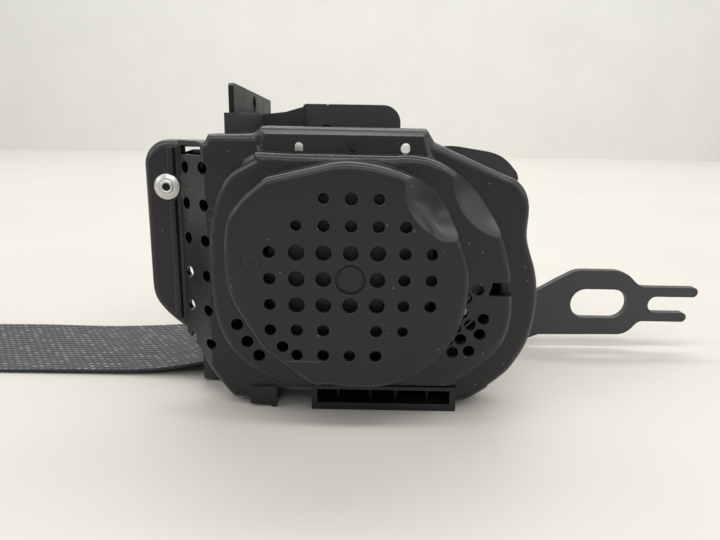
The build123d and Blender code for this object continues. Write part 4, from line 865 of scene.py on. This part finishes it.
@dataclass
class RivetCrater:
    """The crater in the blind rivet's flange, with the mandrel's end sunk in it, coloured near-black as a
    painted shade of the hole.
    """

    rim: tuple[Point, ...] = ((2.1, 0.1), (2.0, -0.12), (1.75, -0.3), (1.45, -0.3), (1.2, -0.1))
    bore: tuple[Point, ...] = ((1.2, -0.1), (1.1, 0.02), (0.0, 0.06))
    turns: int = 40
    weld_gap: float = 1e-7

    def lathe(self, name: str, profile: tuple[Point, ...], centre: Vector) -> bpy.types.Mesh:
        """Turn a profile round the rivet's axis.

        Args:
            name: Name of the mesh.
            profile: Radius and depth pairs in millimetres.
            centre: Middle of the flange's front face.

        Returns:
            The turned mesh.
        """
        form = bmesh.new()
        angles = [math.tau * i / self.turns for i in range(self.turns)]
        rings = []
        for radius, depth in profile:
            spots = [Vector((radius * math.cos(a), depth, radius * math.sin(a))) for a in angles]
            rings.append([form.verts.new(centre + spot * MM) for spot in spots])
        for inner, outer in zip(rings, rings[1:]):
            for i in range(self.turns):
                k = (i + 1) % self.turns
                form.faces.new((inner[i], inner[k], outer[k], outer[i])).smooth = True
        bmesh.ops.remove_doubles(form, verts=form.verts, dist=self.weld_gap)
        return mesh_from(form, name)

    def build(self, rivet: Piece, steel: Material, hole_shade: Material) -> None:
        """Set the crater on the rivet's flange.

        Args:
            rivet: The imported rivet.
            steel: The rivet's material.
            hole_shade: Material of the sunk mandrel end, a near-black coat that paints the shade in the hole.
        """
        across, depths, heights = zip(*(rivet.matrix_world @ Vector(corner) for corner in rivet.bound_box))
        middle_x, middle_z = ((min(side) + max(side)) / 2 for side in (across, heights))
        centre = Vector((middle_x, min(depths), middle_z))
        # The crater's rim is zinc; the bore disc is near-black, a painted shade in the mandrel's hole.
        for name, profile, material in (("rivet_crater", self.rim, steel), ("rivet_hole_shade", self.bore, hole_shade)):
            piece = new_piece(name, self.lathe(name, profile, centre), material)
            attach(piece, Body.RETRACTOR.value)


# The belt


@dataclass
class BeltRoute:
    """A flat route of the belt's middle, seen from the front, in millimetres from the spool's axis."""

    points: list[Point] = field(default_factory=list)
    spacing: float = 2.5
    bend_steps: int = 10
    curve_steps: int = 5

    def line(self, x: float, z: float) -> None:
        """Go straight to a point.

        Args:
            x: End of the run.
            z: Height at the end.
        """
        start_x, start_z = self.points[-1]
        steps = max(1, round(math.hypot(x - start_x, z - start_z) / self.spacing))
        for i in range(1, steps + 1):
            share = i / steps
            self.points.append((start_x + (x - start_x) * share, start_z + (z - start_z) * share))

    def sink(self, x: float, z: float) -> None:
        """Ease to another level, level at both ends.

        Args:
            x: End of the easing.
            z: Height at the end.
        """
        start_x, start_z = self.points[-1]
        for i in range(1, self.bend_steps + 1):
            share = i / self.bend_steps
            ease = share * share * (3.0 - 2.0 * share)
            self.points.append((start_x + (x - start_x) * share, start_z + (z - start_z) * ease))

    def fold(self, height: float, way: int) -> None:
        """Turn back on itself in a half round.

        Args:
            height: Height after the turn.
            way: 1 for a fold that bulges to the right, -1 to the left.
        """
        x, z = self.points[-1]
        radius = (height - z) / 2
        for i in range(1, self.bend_steps + 1):
            turn = math.pi * i / self.bend_steps
            self.points.append((x + way * radius * math.sin(turn), z + radius * (1.0 - math.cos(turn))))

    def curve(self, points: list[Point]) -> None:
        """Pass smoothly through points, as a chain of cubic curves.

        Args:
            points: Points after the current one; the last one only gives the leaving direction.
        """
        chain = [self.points[-2], self.points[-1], *points]
        for i in range(1, len(chain) - 2):
            before, start, end, after = (Vector(p) for p in chain[i - 1 : i + 3])
            for j in range(1, self.curve_steps + 1):
                t = j / self.curve_steps
                place = 0.5 * (
                    2 * start
                    + (end - before) * t
                    + (2 * before - 5 * start + 4 * end - after) * t * t
                    + (3 * start - before - 3 * end + after) * t * t * t
                )
                self.points.append((place.x, place.y))


@dataclass
class BeltStrip:
    """A strip of webbing with thick rounded selvedges, swept along a route."""

    width: float = 46.6
    thickness: float = 1.15
    middle_depth: float = 45.5
    selvedge: float = 1.6
    corner: float = 0.25
    corner_share: float = 0.8
    selvedge_share: float = 0.5
    middle_share: float = 0.44
    crown: float = 1.04

    def section(self) -> list[Point]:
        """Draw the cross-section.

        Returns:
            Places across and heights in millimetres, round the section.
        """
        half = self.width / 2
        thin = self.thickness * self.middle_share
        thick = self.thickness * self.selvedge_share
        near = [
            (-half, 0.0),
            (-half + self.corner, thick * self.corner_share),
            (-half + self.selvedge * 0.5, thick),
            (-half + self.selvedge, thin),
            (-half * 0.5, thin * self.crown),
        ]
        top = [*near, (0.0, thin), *((-across, height) for across, height in reversed(near))]
        bottom = [(across, -height) for across, height in reversed(top[1:-1])]
        return top + bottom

    def rings(
        self, form: bmesh.types.BMesh, route: list[Point], lift: Lift
    ) -> tuple[list[list[bmesh.types.BMVert]], list[float]]:
        """Set the section's corners along the route.

        Args:
            form: The form that takes the corners.
            route: Points of the middle line, x and z in millimetres.
            lift: Gives the extra height in millimetres at a place along and across.

        Returns:
            The rings of corners, and each ring's place along the belt in millimetres.
        """
        rings, runs, along = [], [], 0.0
        for i, (x, z) in enumerate(route):
            before = route[max(0, i - 1)]
            after = route[min(len(route) - 1, i + 1)]
            span = math.hypot(after[0] - before[0], after[1] - before[1]) or 1.0
            normal = (-(after[1] - before[1]) / span, (after[0] - before[0]) / span)
            along += math.hypot(x - before[0], z - before[1])
            ring = []
            for across, height in self.section():
                up = z + normal[1] * height + lift(along, across)
                place = on_axis(x + normal[0] * height, self.middle_depth + across, up)
                ring.append(form.verts.new(place))
            rings.append(ring)
            runs.append(along)
        return rings, runs

    def build(
        self, name: str, route: list[Point], lift: Lift, material: Material
    ) -> Piece:
        """Sweep the section along the route and lay out the belt map in metres.

        Args:
            name: Name of the piece.
            route: Points of the middle line, x and z in millimetres.
            lift: Gives the extra height in millimetres at a place along and across.
            material: The woven material.

        Returns:
            The strip's object.
        """
        form = bmesh.new()
        chart = form.loops.layers.uv.new(BELT_MAP)
        rings, runs = self.rings(form, route, lift)
        mapped = [across + self.width / 2 for across, _ in self.section()]
        for i in range(len(rings) - 1):
            for j in range(len(mapped)):
                k = (j + 1) % len(mapped)
                marks = ((j, i), (k, i), (k, i + 1), (j, i + 1))
                face = form.faces.new([rings[row][side] for side, row in marks])
                face.smooth = True
                for loop, (side, row) in zip(face.loops, marks):
                    loop[chart].uv = (mapped[side] * MM, runs[row] * MM)
        middle = on_axis(0.0, self.middle_depth, 0.0).y
        for ring, run in ((rings[0][::-1], runs[0]), (rings[-1], runs[-1])):
            for loop in form.faces.new(ring).loops:
                loop[chart].uv = (loop.vert.co.y - middle, run * MM)
        return new_piece(name, mesh_from(form, name), material)


@dataclass(frozen=True)
class BarLoop:
    """The belt's turn round a bar and its way back down onto itself, in millimetres."""

    bar: Point
    radius: float
    straight: float
    landed: float
    drop: float
    end: float

    def lay(self, path: BeltRoute) -> None:
        """Carry a route round the bar.

        Args:
            path: The route.
        """
        x, z = self.bar
        path.fold(z - self.radius, 1)
        path.line(x, z - self.radius)
        path.fold(z + self.radius, -1)
        path.line(x + self.straight, z + self.radius)
        path.sink(x + self.landed, z - self.drop)
        path.line(self.end, z - self.drop)


@dataclass
class LaidBelt:
    """The belt from the roll over the table, its folded stack, the tongue's loop and the sewn end."""

    strip: BeltStrip = field(default_factory=BeltStrip)
    start: Point = (4.5, -29.7)
    guide: Point = (-46.0, -38.9)
    landing: tuple[Point, ...] = (
        (-52.0, -40.0),
        (-60.0, -41.5),
        (-68.0, -42.7),
        (-80.0, -43.6),
        (-95.0, -43.95),
    )
    landed: Point = (-110.0, -125.0)
    flat: float = -44.0
    layer: float = 2.0
    left: float = -260.0
    right: float = -172.0
    inset: float = 2.0
    tongue_loop: BarLoop = BarLoop((-225.0, -32.5), 3.9, straight=7.5, landed=22.0, drop=1.6, end=-172.0)
    anchor_loop: BarLoop = BarLoop((-205.0, -24.5), 3.2, straight=3.5, landed=12.0, drop=1.9, end=-176.0)
    wave_from: float = 48.0
    wave_to: float = 150.0
    wave_height: float = 0.25
    wave_along: float = 0.09
    wave_across: float = 0.05
    flat_length: float = 737.0

    def route(self) -> list[Point]:
        """Draw the belt's middle line from the roll to the sewn end.

        Returns:
            The line's points, x and z in millimetres.
        """
        path = BeltRoute([self.start])
        path.line(*self.guide)
        path.curve([*self.landing, *((x, self.flat) for x in self.landed)])
        layers = ((self.left, -1), (self.right, 1), (self.left + self.inset, -1))
        for number, (end, way) in enumerate(layers):
            path.line(end, self.flat + number * self.layer)
            path.fold(self.flat + (number + 1) * self.layer, way)
        path.line(self.right - self.inset, self.flat + len(layers) * self.layer)
        self.tongue_loop.lay(path)
        self.anchor_loop.lay(path)
        return path.points

    def lift(self, along: float, across: float) -> float:
        """Give the slow wave of the belt where it comes down to the table.

        Args:
            along: Millimetres along the belt.
            across: Millimetres from the belt's middle.

        Returns:
            The extra height in millimetres.
        """
        if not self.wave_from < along < self.wave_to:
            return 0.0
        fade = math.sin(math.pi * (along - self.wave_from) / (self.wave_to - self.wave_from))
        return self.wave_height * fade * (1.0 + math.sin(along * self.wave_along + across * self.wave_across))

    def build(self, material: Material) -> Piece:
        """Make the laid belt.

        Args:
            material: The woven material.

        Returns:
            The belt's object.
        """
        piece = self.strip.build("belt_laid", self.route(), self.lift, material)
        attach(piece, Body.RETRACTOR.value)
        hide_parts("webbing_run")
        return piece


@dataclass
class SewnEnd:
    """Rows of zigzag stitches that close the belt's loop round the anchor plate."""

    left: float = -191.0
    right: float = -178.0
    height: float = -25.13
    rows: int = 6
    first_row: float = 27.5
    row_step: float = 7.2
    swing: float = 1.4
    pitch: float = 1.5
    thread: float = 0.28
    thread_sides: int = 2

    def build(self, material: Material) -> Piece:
        """Make the stitches as one piece of bent threads.

        Args:
            material: The thread's material.

        Returns:
            The stitching's object.
        """
        curve = bpy.data.curves.new("belt_stitching", "CURVE")
        curve.dimensions = "3D"
        curve.bevel_depth = self.thread * MM
        curve.bevel_resolution = self.thread_sides
        stitches = 2 * int((self.right - self.left) / self.pitch)
        for row in range(self.rows):
            middle = self.first_row + row * self.row_step
            spline = curve.splines.new("POLY")
            spline.points.add(stitches)
            for i in range(stitches + 1):
                depth = middle + (self.swing if i % 2 else -self.swing)
                place = on_axis(self.left + i * self.pitch / 2, depth, self.height)
                spline.points[i].co = (*place, 1.0)
        piece = new_piece("belt_stitching", curve, material)
        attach(piece, Body.RETRACTOR.value)
        return piece


@dataclass
class WoundBelt:
    """The turns of belt on the spool, wound clockwise from the hub."""

    strip: BeltStrip = field(default_factory=lambda: BeltStrip(width=46.4, thickness=1.1))
    inner: float = 12.4
    outer: float = 28.0
    pitch: float = 1.26
    sides: int = 44
    leaving: float = math.radians(278.0)

    def route(self) -> list[Point]:
        """Draw the spiral's middle line.

        Returns:
            The line's points, x and z in millimetres.
        """
        turns = (self.outer - self.inner) / self.pitch
        count = int(turns * self.sides)
        points = []
        for i in range(count + 1):
            share = i / count
            turn = self.leaving + (1.0 - share) * turns * math.tau
            radius = self.inner + (self.outer - self.inner) * share
            points.append((radius * math.cos(turn), radius * math.sin(turn)))
        return points

    def length(self) -> float:
        """Give the wound length in metres."""
        points = self.route()
        return sum(math.dist(a, b) for a, b in zip(points, points[1:])) * MM

    def build(self, material: Material) -> None:
        """Make the wound belt.

        Args:
            material: The woven material.
        """
        piece = self.strip.build("belt_wound", self.route(), lambda along, across: 0.0, material)
        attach(piece, Body.SPOOL.value)
        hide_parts("webbing_roll")
        self.length()


# Surroundings


@dataclass(frozen=True)
class Lamp:
    """A soft oblong lamp aimed at a point."""

    name: str
    place: Place
    aim: Place
    size: Point
    power: float
    colour: Colour = (1.0, 0.985, 0.96)

    def hang(self) -> None:
        """Add the lamp to the scene."""
        light = bpy.data.lights.new(self.name, "AREA")
        light.shape = "RECTANGLE"
        light.size, light.size_y = self.size
        light.energy = self.power
        light.color = self.colour
        lamp = new_piece(self.name, light)
        lamp.location = self.place
        lamp.rotation_euler = (Vector(self.aim) - Vector(self.place)).to_track_quat("-Z", "Y").to_euler()


LAMPS = (
    Lamp("ceiling_lamp", (-0.1, -0.35, 1.2), (-0.1, 0.0, 0.0), (2.0, 0.25), 9.0),
    Lamp("front_lamp", (0.0, -1.1, 0.95), (-0.1, 0.0, 0.0), (1.3, 0.4), 3.5),
    Lamp("left_window", (-1.3, -0.3, 0.8), (-0.1, 0.0, 0.0), (1.0, 1.0), 5.0),
    Lamp("right_window", (1.1, -0.3, 0.8), (-0.1, 0.0, 0.0), (1.3, 1.2), 5.5),
    Lamp("wall_wash", (0.0, 0.95, 1.6), (0.0, 1.33, 0.3), (2.4, 0.4), 21.0),
)


@dataclass
class Studio:
    """Table, wall, lamps, room light and camera, in metres."""

    eye: Place = (-0.0929, -0.2262, 0.06745)
    pitch: float = 14.0
    roll: float = 1.0
    lens: float = 30.0
    sensor: float = 36.0
    clip: float = 0.01
    near: float = -1.2
    wall_depth: float = 1.33
    wall_top: float = 2.2
    side: float = 3.0
    room_light: float = 0.25
    room_colour: Colour = (0.93, 0.95, 1.0)
    seen_light: float = 0.62
    seen_colour: Colour = (0.97, 0.98, 1.0)
    table_colour: Colour = (0.70, 0.672, 0.62)
    table_roughness: float = 0.5
    wall_colour: Colour = (0.84, 0.845, 0.81)
    wall_roughness: float = 0.9
    mottle: float = 0.955
    mottle_size: float = 9.0
    mottle_detail: float = 6.0

    def plate(self, name: str, corners: list[Place], material: Material) -> None:
        """Make a flat stage piece.

        Args:
            name: Name of the piece.
            corners: Its four corners.
            material: Its material.
        """
        mesh = bpy.data.meshes.new(name)
        mesh.from_pydata(corners, [], [(0, 1, 2, 3)])
        new_piece(name, mesh, material)

    def surface(self, name: str, colour: Colour, rough: float) -> Material:
        """Make the plain painted surface of the table or wall.

        Args:
            name: Name of the material.
            colour: Its colour.
            rough: Its roughness.

        Returns:
            The material.
        """
        draft = MaterialDraft(name)
        noise = draft.noise(draft.place(), self.mottle_size, self.mottle_detail)
        darker = tuple(c * self.mottle for c in colour)
        return draft.finish({"Base Color": draft.mix(draft.span(noise), darker, colour), "Roughness": rough})

    def world(self) -> None:
        """Fill the room with dim even light, which cameras and reflections see as a paler room."""
        world = bpy.data.worlds.new("room")
        world.use_nodes = True
        room = Wiring(world.node_tree)
        dim, end = room.tree.nodes["Background"], room.tree.nodes["World Output"]
        room.feed(dim, {"Color": (*self.room_colour, 1.0), "Strength": self.room_light})
        pale = {"Color": (*self.seen_colour, 1.0), "Strength": self.seen_light}
        seen = room.add("ShaderNodeBackground", pale)
        rays = room.add("ShaderNodeLightPath", {}).outputs
        direct = room.math("MAXIMUM", rays["Is Camera Ray"], rays["Is Glossy Ray"])
        either = room.math("MAXIMUM", direct, rays["Is Transmission Ray"])
        mix = room.add("ShaderNodeMixShader", {"Fac": either, 1: dim.outputs[0], 2: seen.outputs[0]})
        room.feed(end, {"Surface": mix.outputs["Shader"]})
        bpy.context.scene.world = world

    def camera(self) -> None:
        """Put the camera where the photograph was taken."""
        data = bpy.data.cameras.new("camera")
        data.lens = self.lens
        data.sensor_width = self.sensor
        data.clip_start = self.clip
        camera = new_piece("camera", data)
        tilt = Euler((math.radians(90.0 - self.pitch), 0.0, 0.0)).to_matrix()
        roll = Euler((0.0, 0.0, math.radians(self.roll))).to_matrix()
        camera.rotation_euler = (tilt @ roll).to_euler()
        camera.location = self.eye
        bpy.context.scene.camera = camera

    def build(self) -> None:
        """Set the table, wall, lamps, world and camera."""
        side, near, far, top = self.side, self.near, self.wall_depth, self.wall_top
        floor = [(-side, near), (side, near), (side, far), (-side, far)]
        upright = [(-side, TABLE_Z), (side, TABLE_Z), (side, top), (-side, top)]
        table = self.surface("table_paint", self.table_colour, self.table_roughness)
        wall = self.surface("wall_paint", self.wall_colour, self.wall_roughness)
        self.plate("table_top", [(x, y, TABLE_Z) for x, y in floor], table)
        self.plate("wall", [(x, far, z) for x, z in upright], wall)
        self.world()
        for lamp in LAMPS:
            lamp.hang()
        self.camera()


@dataclass
class Dresser:
    """Gives each carried-over node its finish."""

    groups: ShaderGroups
    nodes: dict[str, Piece]
    made: dict[str, Material] = field(default_factory=dict)

    def material(self, finish: Finish) -> Material:
        """Give a finish's material, made once.

        Args:
            finish: The finish.

        Returns:
            The material.
        """
        if finish.name not in self.made:
            self.made[finish.name] = finish.make(self.groups)
        return self.made[finish.name]

    def dress(self) -> None:
        """Put every node's material in its slots."""
        for name, finish in NODE_FINISHES.items():
            node = self.nodes[name]
            if not node.material_slots:
                node.data.materials.append(None)
            for slot in node.material_slots:
                slot.material = self.material(finish)
            LOG.info("%s wears %s", name, finish.name)


def main() -> None:
    """Build the dressed retractor, its belt and the studio."""
    logging.basicConfig(level=logging.INFO)
    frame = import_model()
    groups = ShaderGroups()
    dresser = Dresser(groups, frame["nodes"])
    dresser.dress()
    CoverSkin().build(frame["nodes"]["front_cover"], dresser.material(COVER_BLACK))
    # The lug's near-black coat doubles as the painted shade in the rivet's mandrel hole.
    RivetCrater().build(frame["nodes"]["blind_rivet"], dresser.material(ZINC), dresser.material(LUG_COAT))
    woven = BeltFinish().make(groups)
    laid = LaidBelt()
    belt = laid.build(woven)
    stitches = SewnEnd().build(dresser.material(THREAD))
    wound = WoundBelt()
    wound.build(woven)
    LOG.info("wound belt of %.3f m", wound.length())
    Studio().build()
    bpy.context.scene.view_settings.view_transform = "Standard"


if __name__ == "__main__":
    main()
